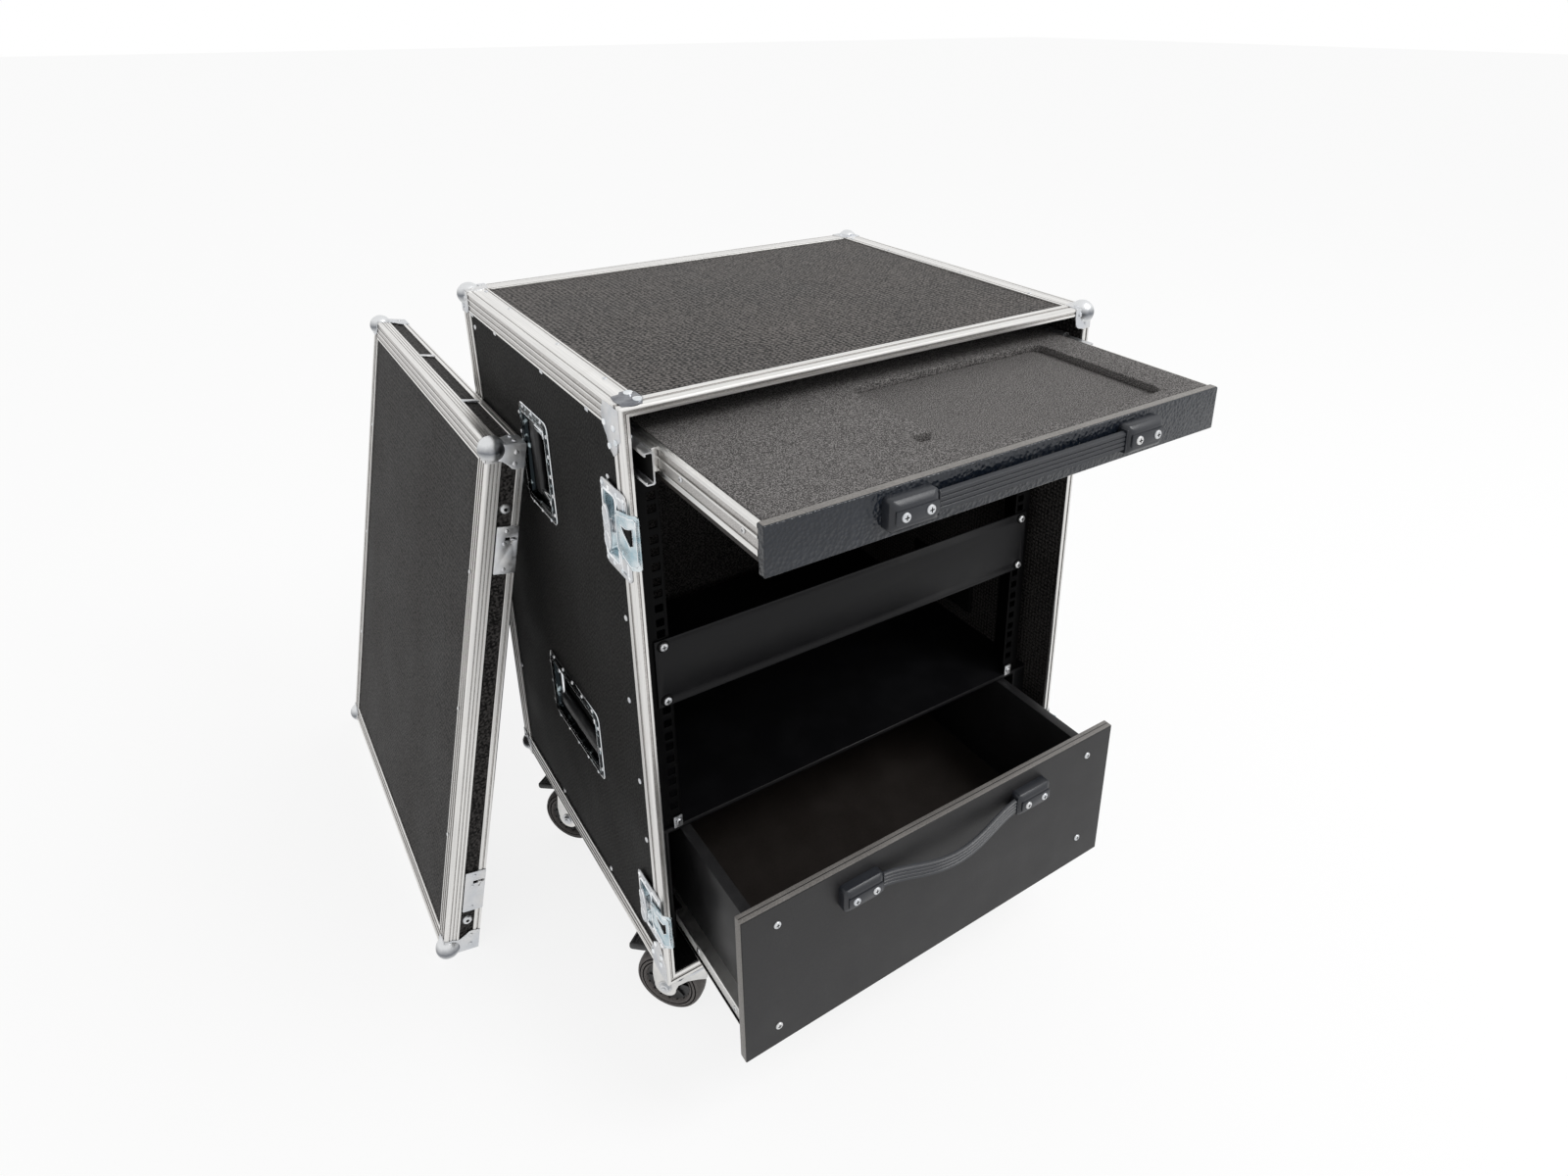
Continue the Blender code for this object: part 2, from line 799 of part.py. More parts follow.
def latch_plate(left, title, z, height):
    name = f"latch_plate_{title}_{side_name(left)}"
    loop, tray_y = latch_tray(height)
    hollow_loop, _ = latch_tray(height, -DISH_SHEET)
    face = plate(
        name,
        [rounded(LATCH_WIDTH, height, 0.005, 2)],
        "X",
        on_side(left, LATCH_BACK_FACE),
        on_side(left, LATCH_FACE),
        (LATCH_WIDTH / 2, z),
        CASE,
    )
    tray = plate(
        name + "_tray",
        [loop],
        "X",
        on_side(left, LATCH_FACE / 2),
        on_side(left, LATCH_TRAY_DEPTH),
        (tray_y, z),
        CASE,
    )
    hollow = plate(
        name + "_hollow",
        [hollow_loop],
        "X",
        on_side(left, LATCH_FACE - PAST),
        on_side(left, LATCH_TRAY_DEPTH - DISH_SHEET),
        (tray_y, z),
        CASE,
    )
    cut(join(face, tray), hollow)
    return keep(face, ZINC)


def latch_wing(left, title, z):
    """The butterfly and its spindle, which turn in the tray."""
    _, y = latch_tray(0.0)
    name = f"latch_wing_{title}_{side_name(left)}"
    axis = holder(name + "_axis", (on_side(left, 0.0), y, z), CASE)
    outwards = -1 if left else 1
    near = outwards * -(WING_FACE + WING_SHEET)
    far = outwards * -WING_FACE
    wing = plate(name, [rounded(WING_WIDTH, WING_SPAN, 0.007)], "X", near, far, parent=axis)
    inner = -outwards * (LATCH_TRAY_DEPTH - DISH_SHEET - GAP)
    spindle = rod(name + "_spindle", LATCH_SPINDLE_RADIUS, "X", inner, far, sides=16, parent=axis)
    join(wing, spindle)
    return keep(wing, ZINC)


def latch_hook(left, title, z, height):
    """The hook plate that reaches in front of the rim, with its window."""
    _, y = latch_tray(0.0)
    name = f"latch_hook_{title}_{side_name(left)}"
    axis = holder(name + "_slide", (on_side(left, 0.0), y, z), CASE)
    outwards = -1 if left else 1
    near = outwards * -(HOOK_FACE + HOOK_SHEET)
    far = outwards * -HOOK_FACE
    front = -HOOK_REACH - y
    back = HOOK_BACK - y
    half = height * HOOK_SHARE / 2
    shoulder = half * 0.75
    outline = [
        (front, -half),
        (front + 0.010, -half),
        (back, -shoulder),
        (back, shoulder),
        (front + 0.010, half),
        (front, half),
    ]
    window = [(front + 0.006, -half * 0.45), (back - 0.010, 0.0), (front + 0.006, half * 0.45)]
    hook = plate(name, [outline, window], "X", near, far, parent=axis)
    return keep(hook, ZINC)


def fittings_on_sides():
    for left in (True, False):
        for title, handle in HANDLES.items():
            handle_dish(left, title, handle)
            handle_grip(left, title, handle)
        for title, (z, height) in LATCHES.items():
            latch_plate(left, title, z, height)
            latch_wing(left, title, z)
            latch_hook(left, title, z, height)


# Castors


def castor_plate(name, x, y):
    """The plate under the case, with the pin that the fork swivels on."""
    top = plate(
        f"castor_plate_{name}",
        [rounded(PLATE_WIDTH, PLATE_LENGTH, 0.008, 2)],
        "Z",
        PLATE_BOTTOM,
        -GAP,
        (x, y),
        CASE,
    )
    pin_end = FORK_TOP - SWIVEL_HEIGHT + GAP
    pin = rod(f"swivel_pin_{name}", PIN_RADIUS, "Z", pin_end, PLATE_BOTTOM + GAP, (x, y), 16, CASE)
    join(top, pin)
    return keep(top, ZINC)


def fork_leg_loop():
    """The arm's outline: wide at the top, and round about the axle."""
    top = FORK_TOP - SWIVEL_HEIGHT
    loop = [(-0.019, top), (TRAIL + 0.003, top)]
    for step in range(9):
        angle = radians(20 - step * 27.5)
        loop.append((TRAIL + FORK_EAR * cos(angle), AXLE_DROP + FORK_EAR * sin(angle)))
    loop.append((-0.019, top - 0.014))
    return loop


def castor_fork(name, axis):
    top = FORK_TOP - SWIVEL_HEIGHT
    plate_loop = rectangle((-0.019, -LEG_OUTSIDE), (TRAIL + 0.003, LEG_OUTSIDE))
    fork = plate(
        f"castor_fork_{name}", [plate_loop], "Z", top - FORK_TOP_SHEET, top, parent=axis
    )
    head = rod(f"swivel_head_{name}", SWIVEL_RADIUS, "Z", top - GAP, FORK_TOP, sides=24, parent=axis)
    axle_end = LEG_OUTSIDE + 0.003
    axle = rod(
        f"castor_axle_{name}", PIN_RADIUS, "Y", -axle_end, axle_end, (TRAIL, AXLE_DROP), 16, axis
    )
    join(fork, head)
    for sign, side in ((-1, "near"), (1, "far")):
        leg = plate(
            f"fork_leg_{side}_{name}",
            [fork_leg_loop()],
            "Y",
            sign * LEG_INSIDE,
            sign * LEG_OUTSIDE,
            parent=axis,
        )
        join(fork, leg)
    join(fork, axle)
    bore = rod(
        f"swivel_bore_{name}", PIN_RADIUS + GAP, "Z", top - PAST - FORK_TOP_SHEET, PAST, (0, 0), 16, axis
    )
    cut(fork, bore)
    return keep(fork, ZINC, smooth=True)


def wheel_section():
    """Half of the wheel from the bore out to the tread, as radius and distance from the middle."""
    half = WHEEL_WIDTH / 2
    bore = PIN_RADIUS + GAP
    tread = WHEEL_RADIUS
    outside = [
        (HUB_RADIUS, half),
        (HUB_RADIUS, half * 0.55),
        (WHEEL_RADIUS * 0.66, half * 0.55),
        (WHEEL_RADIUS * 0.70, half * 0.86),
        (WHEEL_RADIUS * 0.90, half * 0.90),
        (tread, half * 0.55),
    ]
    lower = [(radius, -height) for radius, height in reversed(outside)]
    return [(bore, half)] + outside + lower + [(bore, -half)]


def castor_wheel(name, axis):
    """A wheel turned about its axle."""
    section = wheel_section()
    mesh = bpy.data.meshes.new(f"castor_wheel_{name}")
    count = len(section)
    corners = [(radius, 0.0, height) for radius, height in section]
    mesh.from_pydata(corners, [(i, (i + 1) % count) for i in range(count)], [])
    wheel = add(f"castor_wheel_{name}", mesh, DRAFTS, parent=axis)
    wheel.location = (TRAIL, 0.0, AXLE_DROP)
    wheel.rotation_euler = (pi / 2, 0.0, 0.0)
    turn = wheel.modifiers.new("turned", "SCREW")
    turn.axis = "Z"
    turn.steps = 26
    turn.render_steps = 26
    turn.use_merge_vertices = True
    turn.merge_threshold = 0.00001
    return keep(wheel, TYRE, smooth=True)


def brake_pedal(name, axis):
    """The pedal behind the fork, hinged between its arms over the wheel."""
    x, z = PEDAL_HINGE
    hinge = holder(f"brake_pedal_{name}_axis", (x, 0.0, z), axis)
    half = PEDAL_WIDTH / 2
    lever = [
        (0.0, PEDAL_BARREL * 0.9),
        (PEDAL_REACH * 0.55, -0.002),
        (PEDAL_REACH, -0.006),
        (PEDAL_REACH, -0.013),
        (PEDAL_REACH * 0.5, -0.0085),
        (0.0, -PEDAL_BARREL * 0.9),
    ]
    pedal = plate(f"brake_pedal_{name}", [lever], "Y", -half, half, parent=hinge)
    end = LEG_INSIDE - GAP
    barrel = rod(f"pedal_barrel_{name}", PEDAL_BARREL, "Y", -end, end, (0, 0), 14, hinge)
    join(pedal, barrel)
    return keep(pedal, PLASTIC)


def castors():
    for name, castor in CASTORS.items():
        x = on_side(castor["left"], CASTOR_INSET_X)
        y = CASTOR_INSET_FRONT if castor["front"] else CASE_DEPTH - CASTOR_INSET_REAR
        castor_plate(name, x, y)
        turn = (0.0, 0.0, radians(castor["trails"]))
        axis = holder(f"castor_swivel_{name}", (x, y, 0.0), CASE, turn)
        castor_fork(name, axis)
        castor_wheel(name, axis)
        if castor["brake"]:
            brake_pedal(name, axis)


# Strap handles


def strap_cap(name, x, z, parent):
    cap = block(
        name,
        (x - CAP_WIDTH / 2, CAP_FACE, z - CAP_HEIGHT / 2),
        (x + CAP_WIDTH / 2, -GAP, z + CAP_HEIGHT / 2),
        parent,
    )
    return soften(cap, 0.002)


def strap_band(name, span, x, z, bow, sag, parent):
    """A flat band between the caps, which may bow forwards and sag."""
    half = span / 2 - CAP_WIDTH / 2 + STRAP_IN_CAP
    middle = CAP_FACE / 2

    def forwards(across):
        return middle - bow * (1 - (across / half) ** 2) ** 2

    count = STRAP_STEPS if bow else 1
    places = [-half + 2 * half * step / count for step in range(count + 1)]
    front = [(across, forwards(across) - STRAP_THICKNESS / 2) for across in places]
    rear = [(across, forwards(across) + STRAP_THICKNESS / 2) for across in reversed(places)]
    band = plate(
        name, [front + rear], "Z", z - STRAP_HEIGHT / 2, z + STRAP_HEIGHT / 2, (x, 0.0), parent
    )
    for vertex in band.data.vertices:
        vertex.co.z -= sag * (1 - (vertex.co.x / half) ** 2) ** 2
    return band


def strap_handle(name, span, x, z, bow, sag, parent):
    left = strap_cap(name, x - span / 2, z, parent)
    right = strap_cap(name + "_right_cap", x + span / 2, z, parent)
    band = strap_band(name + "_band", span, x, z, bow, sag, parent)
    join(left, band, right)
    return keep(left, RUBBER)


# Shelf and its slides


def slide_places():
    """How far the three members' webs and lips stand from the outer face of a side."""
    outer_web = WALL_INSIDE + GAP
    middle_web = outer_web + SLIDE_SHEET + MEMBER_GAP
    inner_face = middle_web + SLIDE_SHEET + MEMBER_GAP
    return outer_web, middle_web, inner_face


def channel(name, left, web, width, z, height, start, end, parent):
    """A channel of sheet on a side, open towards the middle of the case."""
    outside = on_side(left, web)
    inside = on_side(left, web + width)
    low = (min(outside, inside), start, z - height / 2)
    high = (max(outside, inside), end, z + height / 2)
    member = block(name, low, high, parent)
    hollow_outside = on_side(left, web + SLIDE_SHEET)
    hollow_inside = on_side(left, web + width + PAST)
    hollow = block(
        name + "_hollow",
        (min(hollow_outside, hollow_inside), start - PAST, z - height / 2 + SLIDE_SHEET),
        (max(hollow_outside, hollow_inside), end + PAST, z + height / 2 - SLIDE_SHEET),
        parent,
    )
    return cut(member, hollow)


def slide_height():
    return SHELF_BOTTOM + PROFILE_LIFT + PROFILE_HEIGHT / 2


def member_height(level):
    """The height of a slide member, nested inside those before it."""
    return SLIDE_HEIGHT - 2 * level * (SLIDE_SHEET + MEMBER_GAP)


def shelf_slides():
    outer_web, middle_web, _ = slide_places()
    z = slide_height()
    for left in (True, False):
        outer = channel(
            f"shelf_slide_outer_{side_name(left)}",
            left,
            outer_web,
            SLIDE_LIP,
            z,
            member_height(0),
            SLIDE_START,
            SLIDE_START + SLIDE_LENGTH,
            CASE,
        )
        keep(outer, ZINC)
        middle = channel(
            f"shelf_slide_middle_{side_name(left)}",
            left,
            middle_web,
            MIDDLE_WIDTH,
            z,
            member_height(1),
            -MIDDLE_OUT,
            -MIDDLE_OUT + MIDDLE_LENGTH,
            CASE,
        )
        keep(middle, ZINC)


def shelf_frame(carriage):
    """The aluminium profiles on the shelf's sides with their inner slide members, and a rear bar."""
    back = SHELF_FRONT_BOARD + GAP + SHELF_LENGTH
    low_z = PROFILE_LIFT
    high_z = PROFILE_LIFT + PROFILE_HEIGHT
    frame = block(
        "shelf_frame",
        (-SHELF_HALF, back - PROFILE_BACK, low_z),
        (SHELF_HALF, back, high_z),
        carriage,
    )
    _, _, inner_face = slide_places()
    member_half = member_height(2) / 2
    z = PROFILE_LIFT + PROFILE_HEIGHT / 2
    start = SHELF_FRONT_BOARD + GAP
    for sign, side in ((-1, "left"), (1, "right")):
        edges = sorted((sign * SHELF_HALF, sign * (SHELF_HALF - PROFILE_SHEET)))
        profile = block(
            f"shelf_profile_{side}", (edges[0], start, low_z), (edges[1], back, high_z), carriage
        )
        reach = sorted((sign * (MIDDLE - inner_face), sign * (SHELF_HALF - PROFILE_SHEET / 2)))
        member = block(
            f"shelf_slide_inner_{side}",
            (reach[0], start + PROFILE_BACK, z - member_half),
            (reach[1], back, z + member_half),
            carriage,
        )
        join(frame, profile, member)
    return keep(frame, ALUMINIUM)


def shelf_board(carriage):
    half = SHELF_HALF - PROFILE_SHEET - GAP
    start = SHELF_FRONT_BOARD + GAP
    end = SHELF_FRONT_BOARD + GAP + SHELF_LENGTH - PROFILE_BACK - GAP
    board = block(
        "shelf_board",
        (-half, start, SHELF_BOARD_LIFT),
        (half, end, SHELF_BOARD_LIFT + SHELF_BOARD),
        carriage,
    )
    return keep(board, BOARD)


def shelf_foam(carriage):
    """The foam top, with the recess for a tablet and a notch for its plug."""
    half = SHELF_HALF - PROFILE_SHEET - GAP
    start = SHELF_FRONT_BOARD + GAP
    end = SHELF_FRONT_BOARD + GAP + SHELF_LENGTH - PROFILE_BACK - GAP
    top = SHELF_FRONT_HEIGHT
    foam = block(
        "shelf_foam", (-half, start, SHELF_BOARD_LIFT + SHELF_BOARD + GAP), (half, end, top), carriage
    )
    centre = (RECESS_LEFT + RECESS_WIDTH / 2, RECESS_FRONT + RECESS_LENGTH / 2)
    recess = plate(
        "tablet_recess",
        [rounded(RECESS_WIDTH, RECESS_LENGTH, RECESS_ROUND)],
        "Z",
        top - RECESS_DEPTH,
        top + PAST,
        centre,
        carriage,
    )
    notch_front = RECESS_FRONT + NOTCH_FROM_FRONT
    notch = block(
        "plug_notch",
        (RECESS_LEFT - NOTCH_WIDTH, notch_front, top - RECESS_DEPTH),
        (RECESS_LEFT + PAST, notch_front + NOTCH_LENGTH, top + PAST),
        carriage,
    )
    cut(foam, recess, notch)
    return keep(foam, FOAM)


def shelf_front(carriage):
    front = block(
        "shelf_front",
        (-SHELF_HALF, 0.0, 0.0),
        (SHELF_HALF, SHELF_FRONT_BOARD, SHELF_FRONT_HEIGHT),
        carriage,
    )
    return keep(soften(front, 0.0012), GRAINED)


def shelf():
    carriage = holder("shelf_carriage", (MIDDLE, -SHELF_OUT, SHELF_BOTTOM), CASE)
    shelf_slides()
    shelf_frame(carriage)
    shelf_board(carriage)
    shelf_foam(carriage)
    shelf_front(carriage)
    strap_handle(
        "shelf_strap_handle",
        SHELF_STRAP_SPAN,
        SHELF_STRAP_SHIFT,
        SHELF_STRAP_HEIGHT,
        0.0,
        0.0,
        carriage,
    )


# Drawer


def drawer_box(carriage):
    """The open box of the drawer, with the moving runner members on its sides."""
    start = DRAWER_FRONT_BOARD + GAP
    end = start + DRAWER_BOX_LENGTH
    low_z = DRAWER_BOX_LIFT - DRAWER_BOTTOM
    high_z = DRAWER_BOX_TOP - DRAWER_BOTTOM
    box = block("drawer_box", (-BOX_HALF, start, low_z), (BOX_HALF, end, high_z), carriage)
    hollow = block(
        "drawer_hollow",
        (-BOX_HALF + DRAWER_SIDE_BOARD, start + DRAWER_SIDE_BOARD, low_z + DRAWER_FLOOR_BOARD),
        (BOX_HALF - DRAWER_SIDE_BOARD, end - DRAWER_SIDE_BOARD, high_z + PAST),
        carriage,
    )
    cut(box, hollow)
    for sign, side in ((-1, "left"), (1, "right")):
        reach = sorted((sign * RUNNER_OUTSIDE, sign * (BOX_HALF - PAST)))
        runner = block(
            f"drawer_runner_{side}",
            (reach[0], start, RUNNER_LIFT),
            (reach[1], end, RUNNER_LIFT + RUNNER_HEIGHT),
            carriage,
        )
        join(box, runner)
    return keep(box, BOARD)


def drawer_front(carriage):
    front = block(
        "drawer_front",
        (-DRAWER_WIDTH / 2, 0.0, 0.0),
        (DRAWER_WIDTH / 2, DRAWER_FRONT_BOARD, DRAWER_HEIGHT),
        carriage,
    )
    return keep(soften(front, 0.0010), BOARD)


def drawer():
    carriage = holder("drawer_carriage", (MIDDLE, -DRAWER_OUT, DRAWER_BOTTOM), CASE)
    drawer_housing()
    drawer_box(carriage)
    drawer_front(carriage)
    strap_handle(
        "drawer_strap_handle",
        DRAWER_STRAP_SPAN,
        0.0,
        DRAWER_STRAP_HEIGHT,
        DRAWER_STRAP_BOW,
        DRAWER_STRAP_SAG,
        carriage,
    )


# Lid: its own X runs through its thickness, Y along its lower edge and Z up its face


def lid_place():
    """Where the lid's outer, near, bottom corner stands so that the lid rests on floor and case."""
    lean = radians(LID_LEAN)
    rim_drop = LID_THICKNESS * sin(lean)
    ball_drop = BALL_RADIUS + BALL_INSET * sin(lean) - BALL_INSET * cos(lean)
    z = -CASTOR_HEIGHT + max(rim_drop, ball_drop)
    x = -LID_REST_GAP - LID_THICKNESS * cos(lean) - CASE_HEIGHT * sin(lean)
    return (x, LID_NEAR_END, z)


def lid_shell(stand):
    inside = SKIN + WALL_BOARD
    shell = block(
        "lid_shell",
        (SKIN, SKIN, SKIN),
        (LID_THICKNESS - RIM_SHEET - GAP, CASE_WIDTH - SKIN, CASE_HEIGHT - SKIN),
        stand,
    )
    hollow = block(
        "lid_hollow",
        (inside, inside, inside),
        (LID_THICKNESS + PAST, CASE_WIDTH - inside, CASE_HEIGHT - inside),
        stand,
    )
    return keep(cut(shell, hollow), LAMINATE)


def lid_keeper(near, title, z, stand):
    """The plate that a latch's hook pulls on."""
    outer = -KEEPER_PROUD if near else CASE_WIDTH + KEEPER_PROUD
    inner = BALL_SHEET if near else CASE_WIDTH - BALL_SHEET
    middle = (LID_SIDE_FLANGE + LID_THICKNESS) / 2 + GAP
    return plate(
        f"lid_keeper_{title}_{'near' if near else 'far'}",
        [rounded(LID_THICKNESS - LID_SIDE_FLANGE - 4 * GAP, KEEPER_HEIGHT, 0.003, 2)],
        "Y",
        outer,
        inner,
        (middle, z),
        stand,
    )


def lid_frame(stand):
    """The lid's edge profiles, rim, corner braces, ball corners and latch keepers."""
    name = "lid_frame"
    frame = block(name, (0.0, 0.0, 0.0), (LID_THICKNESS, CASE_WIDTH, CASE_HEIGHT), stand)
    face_opening = block(
        name + "_face_opening",
        (-PAST, LID_FACE_FLANGE, LID_FACE_FLANGE),
        (LID_THICKNESS / 2, CASE_WIDTH - LID_FACE_FLANGE, CASE_HEIGHT - LID_FACE_FLANGE),
        stand,
    )
    rim_opening = block(
        name + "_rim_opening",
        (LID_THICKNESS / 2 - PAST, RIM_FACE, RIM_FACE),
        (LID_THICKNESS + PAST, CASE_WIDTH - RIM_FACE, CASE_HEIGHT - RIM_FACE),
        stand,
    )
    core = block(
        name + "_core",
        (SHEET, SHEET, SHEET),
        (LID_THICKNESS - RIM_SHEET, CASE_WIDTH - SHEET, CASE_HEIGHT - SHEET),
        stand,
    )
    strip = (LID_SIDE_FLANGE, LID_THICKNESS - RIM_FACE)
    side_strip = block(
        name + "_side_strip",
        (strip[0], -PAST, BRACE_LEG),
        (strip[1], CASE_WIDTH + PAST, CASE_HEIGHT - BRACE_LEG),
        stand,
    )
    end_strip = block(
        name + "_end_strip",
        (strip[0], BRACE_LEG, -PAST),
        (strip[1], CASE_WIDTH - BRACE_LEG, CASE_HEIGHT + PAST),
        stand,
    )
    cut(frame, face_opening, rim_opening, core, side_strip, end_strip)
    core_low = (BALL_SHEET, BALL_SHEET, BALL_SHEET)
    core_high = (LID_THICKNESS, CASE_WIDTH - BALL_SHEET, CASE_HEIGHT - BALL_SHEET)
    for y, end in ((BALL_INSET, "near"), (CASE_WIDTH - BALL_INSET, "far")):
        for z, level in ((BALL_INSET, "lower"), (CASE_HEIGHT - BALL_INSET, "upper")):
            at = (BALL_INSET, y, z)
            join(frame, ball_corner(f"lid_ball_{level}_{end}", at, core_low, core_high, stand))
    for near in (True, False):
        for title, (z, _) in LATCHES.items():
            join(frame, lid_keeper(near, title, z, stand))
    return keep(frame, ALUMINIUM)


def lid():
    stand = holder("lid_stand", lid_place(), CASE, (0.0, radians(LID_LEAN), 0.0))
    lid_shell(stand)
    lid_frame(stand)


def stand_on_origin():
    """Move the model so that its box stands on Z = 0, centred on the origin."""
    bpy.context.view_layer.update()
    view = bpy.context.evaluated_depsgraph_get()
    places = []
    for piece in PARTS.objects:
        if piece.type == "MESH":
            solid = piece.evaluated_get(view)
            places += [solid.matrix_world @ vertex.co for vertex in solid.data.vertices]
    low = [min(place[axis] for place in places) for axis in range(3)]
    high = [max(place[axis] for place in places) for axis in range(3)]
    CASE.location = (-(low[0] + high[0]) / 2, -(low[1] + high[1]) / 2, -low[2])


clear_scene()
PARTS = new_collection("rack_case_with_shelf")
DRAFTS = new_collection("cutters")
LAMINATE = laminate_finish()
ALUMINIUM = aluminium_finish()
ZINC = zinc_finish()
POWDER_COAT = powder_coat_finish()
BOARD = board_finish()
FOAM = foam_finish()
GRAINED = grained_finish()
RUBBER = rubber_finish()
TYRE = tyre_finish()
PLASTIC = plastic_finish()
CASE = holder("case", (0.0, 0.0, 0.0))

panels()
upper_edge_frame()
lower_edge_frame()
front_rim_frame()
rack_rail(True)
rack_rail(False)
rack_blank_panel()
fittings_on_sides()
castors()
shelf()
drawer()
lid()
stand_on_origin()
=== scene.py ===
"""Looks for the rack case with its shelf, drawer and lid.

Sizes are in millimetres up to where a shape's points are made, and places and materials are in metres.
Pieces are drawn in the case's own coordinates (X right, Y back, Z up, from the front, left, bottom
corner of the body) or in those of the carriage, castor or lid that holds them.
"""

from math import cos, pi, radians, sin

import bmesh
import bpy
from mathutils import Matrix, Vector

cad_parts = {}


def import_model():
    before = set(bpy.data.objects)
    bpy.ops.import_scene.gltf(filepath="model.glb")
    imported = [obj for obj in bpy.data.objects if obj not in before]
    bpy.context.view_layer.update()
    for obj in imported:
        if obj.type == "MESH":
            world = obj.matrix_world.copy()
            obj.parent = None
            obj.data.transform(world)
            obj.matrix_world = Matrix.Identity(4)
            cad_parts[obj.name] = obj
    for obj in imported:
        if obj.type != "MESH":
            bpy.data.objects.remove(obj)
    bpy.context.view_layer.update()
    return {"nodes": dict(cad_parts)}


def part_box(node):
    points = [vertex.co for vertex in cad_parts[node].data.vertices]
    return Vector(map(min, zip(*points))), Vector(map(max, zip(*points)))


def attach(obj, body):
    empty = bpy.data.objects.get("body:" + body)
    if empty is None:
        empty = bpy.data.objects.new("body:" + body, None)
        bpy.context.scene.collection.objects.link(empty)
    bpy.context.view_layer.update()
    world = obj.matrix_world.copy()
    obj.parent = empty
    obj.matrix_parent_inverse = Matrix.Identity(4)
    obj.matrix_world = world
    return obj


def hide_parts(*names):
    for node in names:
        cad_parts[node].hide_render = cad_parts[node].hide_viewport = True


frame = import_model()

# Sizes of the CAD model that the pieces follow, in millimetres
MM = 0.001
W, D, H = 543, 457, 653
SHEET = 1.5
SKIN = 1.8
MID = W / 2
TOP_FLANGE, SIDE_FLANGE, REAR_FLANGE, BACK_FLANGE, FOOT_FLANGE = 24.5, 24, 28, 26, 28
RIM_FACE, RIM_FOOT, RIM_DEPTH = 9, 13.5, 18
BALL, BALL_IN = 13, 7
HANDLES = {
    "upper": ((238.5, 514.7), (86, 114)),
    "lower": ((208.5, 217), (150, 87)),
}
DISH_ROUND, DISH_FLOOR = 9, 11.3
LATCHES = {"upper": (532.5, 85), "lower": (87, 70)}
LATCH_Y = 36.25
HOOK_BEND, HOOK_TURN = (-3.2, -9.5), pi / 4
AXLE_X, AXLE_Z = 35, -72
CASTORS = {
    "front_left": (52.5, 38.5, 127.0, True),
    "rear_left": (52.5, 344, 127.0, True),
    "front_right": (490.5, 38.5, 100.0, False),
    "rear_right": (490.5, 344, 250.0, False),
}
SHELF_HALF = 246.5
DRAWER_HALF, DRAWER_H = 245, 185
PANEL_LOW, UNIT = 319.5, 44.5
LID_T = 42

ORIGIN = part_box("left_side_panel")[0] - Vector((SKIN, 2.3, SKIN)) * MM
LEAN = radians(12.0)
LID_Z = -112 + max(LID_T * sin(LEAN), BALL + BALL_IN * sin(LEAN) - BALL_IN * cos(LEAN))
LID_X = -0.5 - LID_T * cos(LEAN) - H * sin(LEAN)


def case_place(x, y, z=0):
    return Matrix.Translation(ORIGIN + Vector((x, y, z)) * MM)


CASE = case_place(0, 0)
SHELF = case_place(MID, -183, 580)
DRAWER = case_place(MID, -118, 1)
LID = case_place(LID_X, 264.8, LID_Z) @ Matrix.Rotation(LEAN, 4, "Y")


# Shapes


def spot(axis, u, v, w):
    """A point from its two flat coordinates and its distance along the axis."""
    return {"X": (w, u, v), "Y": (u, w, v), "Z": (u, v, w)}[axis]


def turns(count, start=0.0):
    return [start + 2 * pi * i / count for i in range(count)]


def rounded(width, height, radius, steps=4, at=(0, 0)):
    points = []
    for quarter, (across, up) in enumerate(((1, 1), (-1, 1), (-1, -1), (1, -1))):
        for step in range(steps + 1):
            angle = (quarter + step / steps) * pi / 2
            u = at[0] + across * (width / 2 - radius) + radius * cos(angle)
            points.append((u, at[1] + up * (height / 2 - radius) + radius * sin(angle)))
    return points


def box_loop(low, high):
    return [(low[0], low[1]), (high[0], low[1]), (high[0], high[1]), (low[0], high[1])]


# Kinds of sides: a BAND takes darker aluminium and a LINE darker still, painted shade in the recessed bands
# and groove walls of the profiles.
PLAIN, BAND, LINE = 0, 5, 6


def plain(*points):
    return [(*point, PLAIN) for point in points]


def groove(a, b, c, d):
    """A groove's four points, with the kinds of the sides that start there: painted shade, as lines on its
    walls and a band on its floor.
    """
    return [(*a, LINE), (*b, BAND), (*c, LINE), (*d, PLAIN)]


def link(name, data):
    made = bpy.data.objects.new(name, data)
    bpy.context.scene.collection.objects.link(made)
    return made


